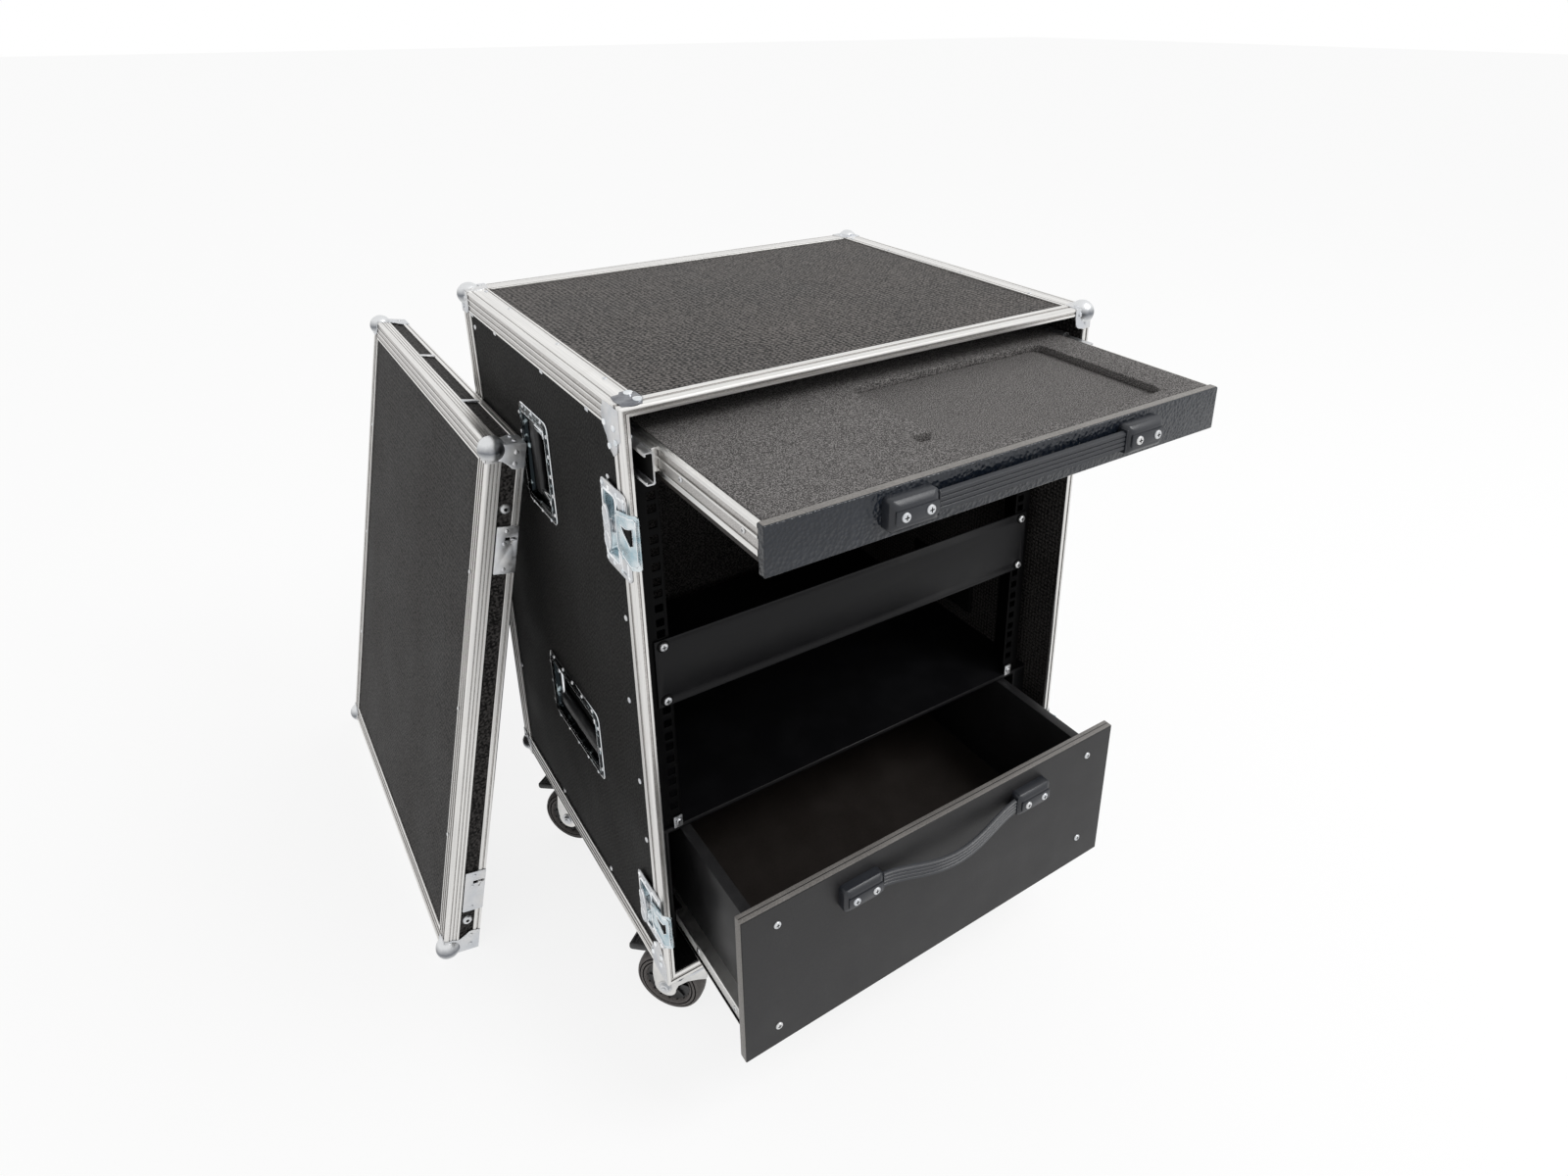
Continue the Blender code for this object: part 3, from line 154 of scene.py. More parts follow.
class Shape:
    """A mesh put together from simple forms; index is the number of a form's material.

    Sizes come in as millimetres, and box, loft and plate turn them into the mesh's metres.
    """

    def __init__(self):
        self.mesh = bmesh.new()

    def take(self, other, index=0, place=None):
        if place is not None:
            bmesh.ops.transform(other, matrix=place, verts=other.verts)
        for face in other.faces if index is not None else ():
            face.material_index = index
        held = bpy.data.meshes.new("held")
        other.to_mesh(held)
        other.free()
        self.mesh.from_mesh(held)
        bpy.data.meshes.remove(held)

    def box(self, low, high, soft=0, steps=2, index=0, place=None):
        low, high = Vector(map(min, low, high)) * MM, Vector(map(max, low, high)) * MM
        made = bmesh.new()
        bmesh.ops.create_cube(made, size=1.0)
        bmesh.ops.scale(made, vec=high - low, verts=made.verts)
        bmesh.ops.translate(made, vec=(low + high) / 2, verts=made.verts)
        if soft:
            edges, offset = made.edges[:], soft * MM
            bmesh.ops.bevel(made, geom=edges, offset=offset, segments=steps, profile=0.5, affect="EDGES")
        self.take(made, index, place)

    def loft(self, rings, index=0, caps=(True, True), bands=None, sides=None):
        """Rings of points joined in order; bands and sides give the materials of rows and of columns."""
        made = bmesh.new()
        rows = [[made.verts.new(Vector(point) * MM) for point in ring] for ring in rings]
        for k, (a, b) in enumerate(zip(rows, rows[1:])):
            count = max(len(a), len(b))
            for i in range(count):
                j = (i + 1) % count
                if len(a) == 1:
                    corners = (a[0], b[i], b[j])
                elif len(b) == 1:
                    corners = (a[i], a[j], b[0])
                else:
                    corners = (a[i], a[j], b[j], b[i])
                face = made.faces.new(corners)
                face.material_index = bands[k] if bands else sides[i] if sides else index
        for row, wanted in ((rows[0], caps[0]), (rows[-1], caps[1])):
            if wanted and len(row) > 2:
                made.faces.new(row).material_index = index
        bmesh.ops.recalc_face_normals(made, faces=made.faces)
        self.take(made, None)

    def prism(self, loop, axis, start, end, index=0):
        """An outline run along an axis; its ends may be functions of the point, for mitres.

        A third value in a point gives the material of the side that starts there: PLAIN, BAND or LINE.
        """
        rings = []
        for w in (start, end):
            rings.append([spot(axis, u, v, w(u, v) if callable(w) else w) for u, v, *_ in loop])
        kinds = [point[2] if len(point) > 2 else PLAIN for point in loop]
        self.loft(rings, index, sides=[index if kind == PLAIN else kind for kind in kinds])

    def plate(self, loops, axis, start, end, soft=0, index=0, steps=1):
        """A flat outline, with any inner loops as holes, and softened edges."""
        curve = bpy.data.curves.new("plate", "CURVE")
        curve.dimensions = "2D"
        curve.fill_mode = "BOTH"
        curve.extrude = (abs(end - start) / 2 - soft) * MM
        curve.bevel_depth = soft * MM
        curve.bevel_resolution = steps
        curve.offset = -soft * MM
        for loop in loops:
            spline = curve.splines.new("POLY")
            spline.points.add(len(loop) - 1)
            for point, (u, v) in zip(spline.points, loop):
                point.co = (u * MM, v * MM, 0.0, 1.0)
            spline.use_cyclic_u = True
        draft = link("plate", curve)
        view = bpy.context.evaluated_depsgraph_get()
        flat = bpy.data.meshes.new_from_object(draft.evaluated_get(view))
        made = bmesh.new()
        made.from_mesh(flat)
        bpy.data.objects.remove(draft)
        bpy.data.curves.remove(curve)
        bpy.data.meshes.remove(flat)
        bmesh.ops.remove_doubles(made, verts=made.verts, dist=0.000001)
        middle = (start + end) / 2 * MM
        for vertex in made.verts:
            u, v, w = vertex.co
            vertex.co = spot(axis, u, v, w + middle)
        bmesh.ops.recalc_face_normals(made, faces=made.faces)
        self.take(made, index)

    def lathe(self, profile, at, axis, steps=28, index=0, caps=(True, True), bands=None):
        """Radii and distances turned about an axis through a point."""
        rings = []
        for radius, w in profile:
            if radius < 0.01:
                ring = [spot(axis, 0, 0, w)]
            else:
                ring = [spot(axis, radius * cos(t), radius * sin(t), w) for t in turns(steps)]
            rings.append([Vector(at) + Vector(point) for point in ring])
        self.loft(rings, index, caps, bands)

    def stack(self, axis, at, size, levels, radius, steps=5, index=0, caps=(False, False), bands=None):
        """Rounded rectangles in order: levels are (inset, distance along the axis)."""
        rings = []
        for inset, w in levels:
            r = radius(inset) if callable(radius) else radius
            loop = rounded(size[0] - 2 * inset, size[1] - 2 * inset, r, steps, at)
            rings.append([spot(axis, u, v, w) for u, v in loop])
        self.loft(rings, index, caps, bands)

    def sweep(self, route, section, up, index=0):
        """A section of (across, along up) points carried along a route."""
        rings = []
        for i, point in enumerate(route):
            before, after = route[max(i - 1, 0)], route[min(i + 1, len(route) - 1)]
            ahead = (Vector(after) - Vector(before)).normalized()
            side = ahead.cross(Vector(up)).normalized()
            rise = side.cross(ahead)
            rings.append([Vector(point) + side * u + rise * v for u, v in section])
        self.loft(rings, index)

    def wire(self, route, index):
        """A thin round wire lying on a face that looks along X."""
        self.sweep(route, [(0.5 * cos(t), 0.5 * sin(t)) for t in turns(6)], (1, 0, 0), index)

    def rivet(self, at, axis, out, radius=2.6, height=1.1, index=0):
        rim = [(radius, -0.3), (radius, 0.3), (radius * 0.93, height * 0.62)]
        crown = [(radius * 0.72, height * 0.88), (radius * 0.4, height), (0, height * 1.04)]
        self.lathe([(r, w * out) for r, w in rim + crown], at, axis, 18, index)

    def screw(self, at, axis, out, radius=3.8, height=1.8, index=0, dark=1):
        """A pan head with a cross recess, whose inside takes the dark material: painted shade."""
        ways = turns(32, pi / 32)

        def ring(reach, w):
            """A ring with a radius, or a function of the way that gives it."""
            points = [(reach(t) if callable(reach) else reach, t) for t in ways]
            return [Vector(at) + Vector(spot(axis, r * cos(t), r * sin(t), w * out)) for r, t in points]

        def cross(reach, half, w):
            def edge(t):
                c, s = max(abs(cos(t)), 1e-6), max(abs(sin(t)), 1e-6)
                return max(min(reach / c, half / s), min(half / c, reach / s))
            return ring(edge, w)

        mouth = cross(radius * 0.56, radius * 0.13, height)
        head = [ring(radius, -0.3), ring(radius, height * 0.3), ring(radius * 0.9, height * 0.75)]
        self.loft(head + [ring(radius * 0.68, height), mouth], index, (True, False))
        self.loft([mouth, cross(radius * 0.3, radius * 0.1, height * 0.25)], dark, (False, True))

    def hexagon(self, at, axis, out, across=10, height=5, index=0):
        r = across / 2 / cos(pi / 6)
        rings = [(r * 0.97, -0.4), (r, 0.4), (r, height * 0.8), (r * 0.86, height)]
        self.lathe([(a, w * out) for a, w in rings], at, axis, 6, index)
        stud = [(r * 0.45, height * 0.9), (r * 0.45, height * 1.25), (r * 0.36, height * 1.4)]
        self.lathe([(a, w * out) for a, w in stud], at, axis, 14, index)

    def bend(self, at, angle):
        """Turns what lies in front of a line that stands at (x, y)."""
        mesh, x, y = self.mesh, at[0] * MM, at[1] * MM
        parts = mesh.verts[:] + mesh.edges[:] + mesh.faces[:]
        bmesh.ops.bisect_plane(mesh, geom=parts, plane_co=(0.0, y, 0.0), plane_no=(0.0, 1.0, 0.0))
        for vertex in mesh.verts:
            past, off = y - vertex.co.y, vertex.co.x - x
            if past > 0.0:
                vertex.co.y = y - past * cos(angle) + off * sin(angle)
                vertex.co.x = x + past * sin(angle) + off * cos(angle)

    def mirrored(self):
        """The same form on the other side of the case."""
        twin = Shape()
        twin.mesh = self.mesh.copy()
        for vertex in twin.mesh.verts:
            vertex.co.x = W * MM - vertex.co.x
        bmesh.ops.reverse_faces(twin.mesh, faces=twin.mesh.faces)
        return twin


def piece(name, shape, place, body, materials, replaces=(), smooth=38.0):
    mesh = bpy.data.meshes.new(name)
    bmesh.ops.remove_doubles(shape.mesh, verts=shape.mesh.verts, dist=0.0000005)
    shape.mesh.to_mesh(mesh)
    shape.mesh.free()
    for made in materials if isinstance(materials, (list, tuple)) else [materials]:
        mesh.materials.append(made)
    mesh.shade_smooth()
    mesh.set_sharp_from_angle(angle=radians(smooth))
    made = link(name, mesh)
    made.matrix_world = place
    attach(made, body)
    if replaces:
        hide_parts(*replaces)


def sided(shape, side):
    """The shape itself for the left side, its mirror image for the right one."""
    return shape if side == "left" else shape.mirrored()


# Materials


class Graph:
    """Shader nodes put into a tree."""

    def __init__(self, tree):
        self.tree = tree

    def node(self, kind, inputs=None, **settings):
        made = self.tree.nodes.new(kind)
        for key, value in settings.items():
            setattr(made, key, value)
        for key, value in (inputs or {}).items():
            self.give(made.inputs[key], value)
        return made

    def give(self, socket, value):
        if isinstance(value, bpy.types.NodeSocket):
            self.tree.links.new(value, socket)
        elif socket.type == "RGBA" and len(value) == 3:
            socket.default_value = (*value, 1.0)
        else:
            socket.default_value = value

    def math(self, operation, a, b=0.0, c=0.0):
        return self.node("ShaderNodeMath", {0: a, 1: b, 2: c}, operation=operation).outputs[0]

    def range(self, value, low, high, to_low=0.0, to_high=1.0):
        inputs = {0: value, 1: low, 2: high, 3: to_low, 4: to_high}
        return self.node("ShaderNodeMapRange", inputs, clamp=True).outputs[0]

    def seen(self):
        """1 for rays that show a surface to the camera, and 0 for those that only light others."""
        path = self.node("ShaderNodeLightPath").outputs
        seen = self.math("MAXIMUM", path["Is Camera Ray"], path["Is Glossy Ray"])
        return self.math("MAXIMUM", seen, path["Is Transmission Ray"])


class Finish(Graph):
    """A material put together from shader nodes."""

    def __init__(self, name):
        self.material = bpy.data.materials.new(name)
        self.material.use_nodes = True
        super().__init__(self.material.node_tree)
        self.shader = self.tree.nodes["Principled BSDF"]
        self.coordinates = self.node("ShaderNodeTexCoord").outputs["Object"]

    def scaled(self, scale):
        return self.node("ShaderNodeMapping", {"Vector": self.coordinates, "Scale": scale}).outputs[0]

    def noise(self, scale, detail=3.0, rough=0.55, vector=None):
        inputs = {"Vector": vector or self.coordinates, "Scale": scale, "Detail": detail}
        return self.node("ShaderNodeTexNoise", {**inputs, "Roughness": rough}).outputs[0]

    def cells(self, scale):
        inputs = {"Vector": self.coordinates, "Scale": scale, "Randomness": 1.0}
        return self.node("ShaderNodeTexVoronoi", inputs, feature="F1").outputs[0]

    def mix(self, factor, a, b):
        return self.node("ShaderNodeMix", data_type="RGBA", inputs={0: factor, 6: a, 7: b}).outputs[2]

    def weave(self, pitch):
        """A plain weave of threads along all three axes, from 0 to 1."""
        turn = 2 * pi / pitch
        split = self.node("ShaderNodeSeparateXYZ", {0: self.scaled((turn, turn, turn))})
        x, y, z = [self.math("SINE", split.outputs[i]) for i in range(3)]
        both = self.math("MULTIPLY_ADD", x, y, self.math("MULTIPLY", y, z))
        return self.math("MULTIPLY_ADD", x, z, both)

    def bump(self, height, distance, strength):
        inputs = {"Height": height, "Distance": distance, "Strength": strength}
        return self.node("ShaderNodeBump", inputs).outputs[0]

    def set(self, **values):
        for key, value in values.items():
            self.give(self.shader.inputs[key.replace("_", " ").title().replace("Ior", "IOR")], value)
        return self.material


def shade(colour, share, lift=0.0):
    return tuple(min(1.0, c * share + lift) for c in colour)


def laminate(name, dark, light, specular):
    """Textured laminate: a fine woven print, soft cloudy tone and a few pale scuffs."""
    f = Finish(name)
    weave = f.weave(0.0052)
    cloud = f.noise(9.0, 4.0)
    grain = f.range(f.noise(400.0, 2.0), 0.36, 0.64)
    tone = f.math("MULTIPLY_ADD", weave, 0.22, f.math("MULTIPLY_ADD", grain, 1.0, -0.22))
    tone = f.math("MULTIPLY_ADD", f.range(cloud, 0.3, 0.7), 0.3, tone)
    scuff = f.range(f.noise(60.0, 5.0, 0.7, f.scaled((1.0, 1.0, 0.4))), 0.66, 0.78, 0.0, 0.25)
    colour = f.mix(tone, dark, light)
    colour = f.mix(scuff, colour, shade(light, 1.9))
    height = f.math("MULTIPLY_ADD", weave, 0.5, f.math("MULTIPLY", grain, 0.8))
    return f.set(
        base_color=colour,
        roughness=f.range(cloud, 0.3, 0.7, 0.54, 0.68),
        specular_ior_level=specular,
        normal=f.bump(height, 0.0001, 0.55),
    )


def brushed(name, colour, run):
    """Anodised aluminium drawn along one axis, with fine lines and faint stains."""
    f = Finish(name)
    scale = [900.0, 900.0, 900.0]
    scale["XYZ".index(run)] = 9.0
    lines = f.noise(1.0, 3.0, 0.6, f.scaled(scale))
    scale["XYZ".index(run)] = 2.5
    bands = f.noise(1.0, 2.0, 0.5, f.scaled([value * 0.22 for value in scale]))
    stain = f.noise(26.0, 4.0)
    tone = f.mix(f.range(lines, 0.3, 0.7), shade(colour, 0.72), colour)
    tone = f.mix(f.range(bands, 0.35, 0.65, 0.0, 0.35), tone, (0.93, 0.92, 0.9))
    tone = f.mix(f.range(stain, 0.55, 0.75, 0.0, 0.18), tone, (0.6, 0.55, 0.5))
    return f.set(
        base_color=tone,
        metallic=1.0,
        roughness=f.range(lines, 0.3, 0.7, 0.27, 0.44),
        normal=f.bump(lines, 0.00003, 0.3),
    )


def plated(name, colour, tint, rough, pitch=45.0, steep=0.16, level=0.5):
    """Zinc or chrome plate with tinted patches, fine speckle and a slightly uneven face. The patches are
    the plate's own tint, but in the dark chrome their near-black tint is painted reflection.
    """
    f = Finish(name)
    tint_and_reflection = f.noise(pitch, 2.0, 0.45)
    fine = f.noise(1400.0, 2.0)
    tone = f.mix(f.range(tint_and_reflection, level - steep, level + steep), colour, tint)
    speckle = f.range(fine, 0.3, 0.7, 0.0, 0.08)
    tone = f.mix(speckle, tone, shade(colour, 0.55))
    height = f.math("MULTIPLY_ADD", f.noise(90.0, 1.0), 0.15, f.math("MULTIPLY", fine, 0.05))
    return f.set(
        base_color=tone,
        metallic=1.0,
        roughness=f.range(f.noise(240.0, 3.0), 0.3, 0.7, rough * 0.8, rough * 1.3),
        normal=f.bump(height, 0.00004, 0.15),
    )


def ball_metal(name):
    """Satin steel with a painted reflection: the dark band that a ball mirrors from the room's middle
    height, painted into its colour where its face points level.
    """
    f = Finish(name)
    split = f.node("ShaderNodeSeparateXYZ", {0: f.node("ShaderNodeNewGeometry").outputs["Normal"]})
    level = f.math("ADD", split.outputs[2], f.range(f.noise(120.0, 2.0), 0.2, 0.8, -0.1, 0.1))
    away = f.math("ABSOLUTE", f.math("SUBTRACT", level, 0.02))
    tone = f.mix(f.range(away, 0.02, 0.6), (0.2, 0.21, 0.23), (0.72, 0.73, 0.74))
    fine = f.noise(1200.0, 2.0)
    return f.set(
        base_color=tone,
        metallic=1.0,
        roughness=f.range(fine, 0.3, 0.7, 0.3, 0.42),
        normal=f.bump(fine, 0.00003, 0.3),
    )


def moulded(name, colour, rough, pebble=0.0, pitch=900.0, specular=0.4, speck=None, metallic=0.0):
    """Rubber, plastic or powder coat with a fine grained face and dusty patches."""
    f = Finish(name)
    grain = f.noise(pitch, 3.0, 0.6)
    patch = f.noise(22.0, 4.0)
    tone = f.mix(f.range(grain, 0.3, 0.7), shade(colour, 0.7), shade(colour, 1.3))
    tone = f.mix(f.range(patch, 0.45, 0.75, 0.0, 0.4), tone, shade(colour, 1.6, 0.004))
    if speck:
        tone = f.mix(f.range(f.noise(pitch * 1.2, 2.0, 0.4), 0.45, 0.61), tone, speck)
    height = grain
    if pebble:
        height = f.math("MULTIPLY_ADD", f.cells(pitch * 0.7), pebble, f.math("MULTIPLY", grain, 0.4))
    return f.set(
        base_color=tone,
        metallic=metallic,
        roughness=f.range(patch, 0.3, 0.7, rough - 0.05, rough + 0.08),
        specular_ior_level=specular,
        normal=f.bump(height, 0.00018, 0.5),
    )


# One laminate in four copies of different lightness, as painted light and shade: the top painted lighter as
# if lit, the left side and the inside painted darker as shade, the side also with less sheen, and the lid,
# right side and back in between.
LAMINATE_SIDE_PAINTED_SHADE = laminate("laminate_side_painted_shade", (0.0006, 0.0006, 0.0006), (0.023, 0.022, 0.021), 0.06)
LAMINATE_TOP_PAINTED_LIGHT = laminate("laminate_top_painted_light", (0.006, 0.0055, 0.0052), (0.15, 0.138, 0.131), 0.15)
LAMINATE_LID = laminate("laminate_lid", (0.003, 0.0028, 0.0026), (0.064, 0.06, 0.058), 0.1)
LAMINATE_IN_PAINTED_SHADE = laminate("laminate_inside_painted_shade", (0.003, 0.003, 0.003), (0.008, 0.008, 0.008), 0.1)
ALU_X = brushed("aluminium_x", (0.88, 0.87, 0.85), "X")
ALU_Y = brushed("aluminium_y", (0.88, 0.87, 0.85), "Y")
ALU_Z = brushed("aluminium_z", (0.86, 0.85, 0.83), "Z")
# Darker copies of the aluminium for the sides of kind BAND and LINE: painted shade in recessed bands and
# groove walls.
BANDED = moulded("aluminium_band_painted_shade", (0.47, 0.455, 0.44), 0.34, pitch=900.0, metallic=1.0)
GROOVE = moulded("aluminium_groove_painted_shade", (0.22, 0.21, 0.2), 0.5, pitch=700.0, metallic=0.8)
ZINC = plated("zinc_plate", (0.72, 0.72, 0.72), (0.62, 0.64, 0.67), 0.42)
# The brace zinc is darkened: a painted dark reflection on the braces' flat plates.
BRACE = plated("zinc_brace_painted_dark_reflection", (0.13, 0.135, 0.155), (0.27, 0.28, 0.3), 0.32, 110.0)
TEAL = plated("zinc_blue_passivated", (0.76, 0.81, 0.83), (0.36, 0.5, 0.56), 0.26, 75.0, 0.16)
CHROME = plated("chrome_edge", (0.94, 0.95, 0.96), (0.66, 0.7, 0.73), 0.1, 90.0)
# Chrome with near-black patches: painted dark reflections.
MIRROR = plated("chrome_painted_dark_reflections", (0.34, 0.4, 0.42), (0.006, 0.009, 0.011), 0.14, 130.0, 0.05, 0.39)
SATIN = plated("satin_zinc", (0.82, 0.81, 0.79), (0.66, 0.66, 0.65), 0.36)
BALLS = ball_metal("ball_steel_painted_reflection")
# Black that stands for shade: painted shade in screw recesses, tyre grooves, windows, slots, creases and
# hollows.
DARK = moulded("shadow_black", (0.004, 0.004, 0.004), 0.7, specular=0.1)
BLACK = moulded("black_moulding", (0.012, 0.012, 0.013), 0.36, pitch=700.0)
RUBBER = moulded("strap_rubber", (0.012, 0.014, 0.019), 0.34, pitch=800.0, specular=0.5)
COAT = moulded("powder_coat", (0.0042, 0.0042, 0.005), 0.42, pebble=0.5, pitch=1300.0, specular=0.2)
# A darker, duller copy of the powder coat for the rails: painted shade.
RAIL = moulded("rail_coat_painted_shade", (0.002, 0.002, 0.0022), 0.5, pebble=0.5, pitch=1300.0, specular=0.06)
BOARD = moulded("painted_board", (0.0135, 0.0132, 0.014), 0.42, pitch=700.0, specular=0.3)
EDGE = moulded("board_edge", (0.19, 0.18, 0.17), 0.5, pitch=600.0)
BROWN = moulded("board_edge_dark", (0.016, 0.012, 0.01), 0.6, pitch=500.0)
FOAM = moulded("speckled_foam", (0.058, 0.055, 0.054), 0.92, pebble=1.0, pitch=760.0, specular=0.1,
               speck=(0.235, 0.225, 0.22))
GRAINED = moulded("pebbled_grain", (0.004, 0.007, 0.013), 0.28, pebble=9.0, pitch=420.0, specular=0.55)
RUNNER = moulded("runner_face", (0.72, 0.71, 0.69), 0.4, pitch=600.0)
TYRE = moulded("tyre_rubber", (0.11, 0.1, 0.096), 0.62, pitch=500.0)

PROFILE = [ALU_Y, ALU_X, ALU_Z, ZINC, BALLS, BANDED, GROOVE]

for node, finish in (
    ("left_side_panel", LAMINATE_SIDE_PAINTED_SHADE),
    ("right_side_panel", LAMINATE_LID),
    ("top_panel", LAMINATE_TOP_PAINTED_LIGHT),
    ("bottom_panel", LAMINATE_IN_PAINTED_SHADE),
    ("back_panel", LAMINATE_LID),
    ("lid_shell", LAMINATE_LID),
    ("shelf_board", BROWN),
    ("drawer_housing", COAT),
):
    frame["nodes"][node].data.materials.clear()
    frame["nodes"][node].data.materials.append(finish)


# Edge profiles of the case


def ridged(length):
    """The outer line of a flange: distance along it, depth below its face and the kind of side."""
    edge, depth = 2.8, 0.7
    line = [(edge, 0, PLAIN), (edge + 0.5, depth, BAND)]
    for at in (length * 0.36, length * 0.64):
        line += [(at - 1.2, depth, LINE), (at - 0.8, 0, PLAIN)]
        line += [(at + 0.8, 0, LINE), (at + 1.2, depth, BAND)]
    line.append((length - 3.2, depth, LINE))
    return line + plain((length - 2.7, 0), (length - 0.4, 0), (length, 0.4))


def angle_profile(flat, ribbed):
    """An angle's section: (across the flat flange, across the ribbed one), measured from the corner."""
    outer = plain((flat, SHEET), (flat, 0.4), (flat - 0.4, 0))
    for at in (flat - 2.2, 6.2):
        outer += groove((at, 0), (at - 0.4, 0.3), (at - 1, 0.3), (at - 1.4, 0))
    outer += plain((2.6, 0), (1, 0.4), (0.3, 1.2))
    outer += [(b, a, kind) for a, b, kind in ridged(ribbed)]
    return outer + plain((SHEET, ribbed), (SHEET, SHEET))


def edge_profiles():
    """The angle profiles along the body's edges, with their corner balls and rivets."""
    upper, lower = Shape(), Shape()
    section = angle_profile(TOP_FLANGE, SIDE_FLANGE)
    start = RIM_DEPTH + 0.3
    mitre = (lambda y, z: D - y, lambda y, z: W - (D - y))
    for left in (True, False):
        along = [(u if left else W - u, H - v, kind) for u, v, kind in section]
        far = lambda x, z: D - (x if left else W - x)
        upper.prism(along, "Y", start, far)
        low = [(x, H - z, kind) for x, z, kind in along]
        wider = FOOT_FLANGE / SIDE_FLANGE
        low = [(x, z * wider if z > 2.7 else z, kind) for x, z, kind in low]
        lower.prism(low, "Y", start, far)
    top = [(D - u, H - v, kind) for u, v, kind in angle_profile(REAR_FLANGE, SIDE_FLANGE)]
    upper.prism(top, "X", *mitre, 1)
    lower.prism([(y, H - z, kind) for y, z, kind in top], "X", *mitre, 1)
    post = angle_profile(BACK_FLANGE, REAR_FLANGE)
    for left in (True, False):
        loop = [(u if left else W - u, D - v, kind) for u, v, kind in post]
        lower.prism(loop, "Z", FOOT_FLANGE + 0.2, H - SIDE_FLANGE - 0.2, 2)
    for shape, z, up in ((upper, H - BALL_IN, 1), (lower, BALL_IN, -1)):
        for x, out in ((BALL_IN, -1), (W - BALL_IN, 1)):
            ball_corner(shape, (x, D - BALL_IN, z), (out, 1, up), 3)
    for y in (336, 191, 75, 420):
        for x, inner in ((0, 19), (W, W - 19)):
            upper.box((x - 0.6, y - 3.5, H - 26.2), (x + 0.6, y + 3.5, H - 22.8), 0.5, index=3)
            upper.rivet((inner, y, H), "Z", 1, 2.2, 0.8, 3)
    piece("upper_profiles", upper, CASE, "case", PROFILE, ["upper_edge_frame"])
    piece("lower_profiles", lower, CASE, "case", PROFILE, ["lower_edge_frame"])


def ball_corner(shape, at, out, index, legs=(27.5, 27.5, 27.5), ball=BALL):
    """A ball on a corner with three riveted legs; out says which way the corner points."""
    arc = [-pi / 2 + step * pi / 16 for step in range(1, 16)]
    rings = [(0, -ball)] + [(ball * cos(t), ball * sin(t)) for t in arc] + [(0, ball)]
    shape.lathe(rings, at, "Z", 36, index + 1)
    corner = [middle + way * BALL_IN for middle, way in zip(at, out)]
    for axis, i, j, k in (("Z", 0, 1, 2), ("X", 1, 2, 0), ("Y", 0, 2, 1)):
        a, b = legs[i], legs[j]
        lobe = [(0.62 + 0.342 * cos(t), 0.62 + 0.342 * sin(t)) for t in turns(20)[:6]]
        leg = [(0.5, 0.5), (a, 0.5), (a, b * 0.45)] + [(a * u, b * v) for u, v in lobe]
        leg += [(a * 0.45, b), (0.5, b)]
        face = [(corner[i] - out[i] * u, corner[j] - out[j] * v) for u, v in leg]
        top = corner[k] + out[k] * 0.8
        shape.plate([face], axis, corner[k] - out[k] * 0.4, top, 0.3, index)
        for u, v in ((a * 0.72, b * 0.3), (a * 0.3, b * 0.72)):
            place = spot(axis, corner[i] - out[i] * u, corner[j] - out[j] * v, top)
            shape.rivet(place, axis, out[k], 2.7, 1.2, index)


def rim_line(face):
    """The rim's section: distance inwards from the outer face, depth from the front, kind of side."""
    k = face / RIM_FACE
    outer = plain((0, RIM_DEPTH)) + groove((0, 11.6), (0.6, 11.1), (0.6, 7.4), (0, 6.9))
    outer += plain((0, 1.6), (0.5, 0.5), (1.6, 0))
    front = groove((3.2 * k, 0), (3.5 * k, 0.8), (5.6 * k, 0.8), (5.9 * k, 0))
    return outer + front + plain((face - 0.8, 0), (face, 0.8), (face, 3), (SHEET, 3), (SHEET, RIM_DEPTH))


def front_rim():
    """The frame round the opening, mitred at its corners, with balls and braces."""
    shape = Shape()
    slope = RIM_FOOT / RIM_FACE
    section = rim_line(RIM_FACE)
    for left in (True, False):
        inset = lambda x, y: (x if left else W - x)
        loop = [(inset(s, y), y, kind) for s, y, kind in section]
        shape.prism(loop, "Z", lambda x, y: inset(x, y) * slope, lambda x, y: H - inset(x, y), 2)
    top = [(y, H - s, kind) for s, y, kind in section]
    shape.prism(top, "X", lambda y, z: H - z, lambda y, z: W - (H - z), 1)
    foot = [(y, s, kind) for s, y, kind in rim_line(RIM_FOOT)]
    shape.prism(foot, "X", lambda y, z: z / slope, lambda y, z: W - z / slope, 1)
    for z, up in ((H - BALL_IN, 1), (BALL_IN, -1)):
        ball_corner(shape, (W - BALL_IN, BALL_IN, z), (1, -1, up), 3, (24, 20, 24))
    corner_brace(shape, H, 1)
    corner_brace(shape, 0, -1)
    finishes = PROFILE + [BRACE, CHROME]
    piece("front_rim", shape, CASE, "case", finishes, ["front_rim_frame"])


def corner_brace(shape, face, out):
    """The flat brace that wraps the front left corner, with its domed rivets."""
    level = [(4, 3.5), (14, -0.2), (21.5, 2), (27, 13), (26.8, 29)]
    level += [(22.5, 34.5), (15, 34.5), (12, 29.5), (5, 28.5), (3.4, 20)]
    # This plate takes the darkened brace zinc: a painted dark reflection.
    shape.plate([level], "Z", face - out * 0.3, face + out * 0.9, 0.3, 7)
    for x, y in ((20, 27.5), (20.9, 10.5)):
        shape.rivet((x, y, face + out * 0.9), "Z", out, 4.4, 2.2, 8)
    side = [(2.2, 2.5), (33, 2.2), (38.5, 14), (36, 26.5), (30, 33)]
    side += [(26.5, 42), (18, 48), (10, 42), (7, 33), (2.2, 30)]
    shape.plate([[(y, face - out * drop) for y, drop in side]], "X", 0.3, -0.9, 0.3, 3)
    for y, drop in ((32.5, 21.5), (13, 21), (24, 40), (10.5, 33)):
        shape.rivet((-0.9, y, face - out * drop), "X", -1, 3.2, 1.6, 8)


edge_profiles()
front_rim()


# Fittings on the sides


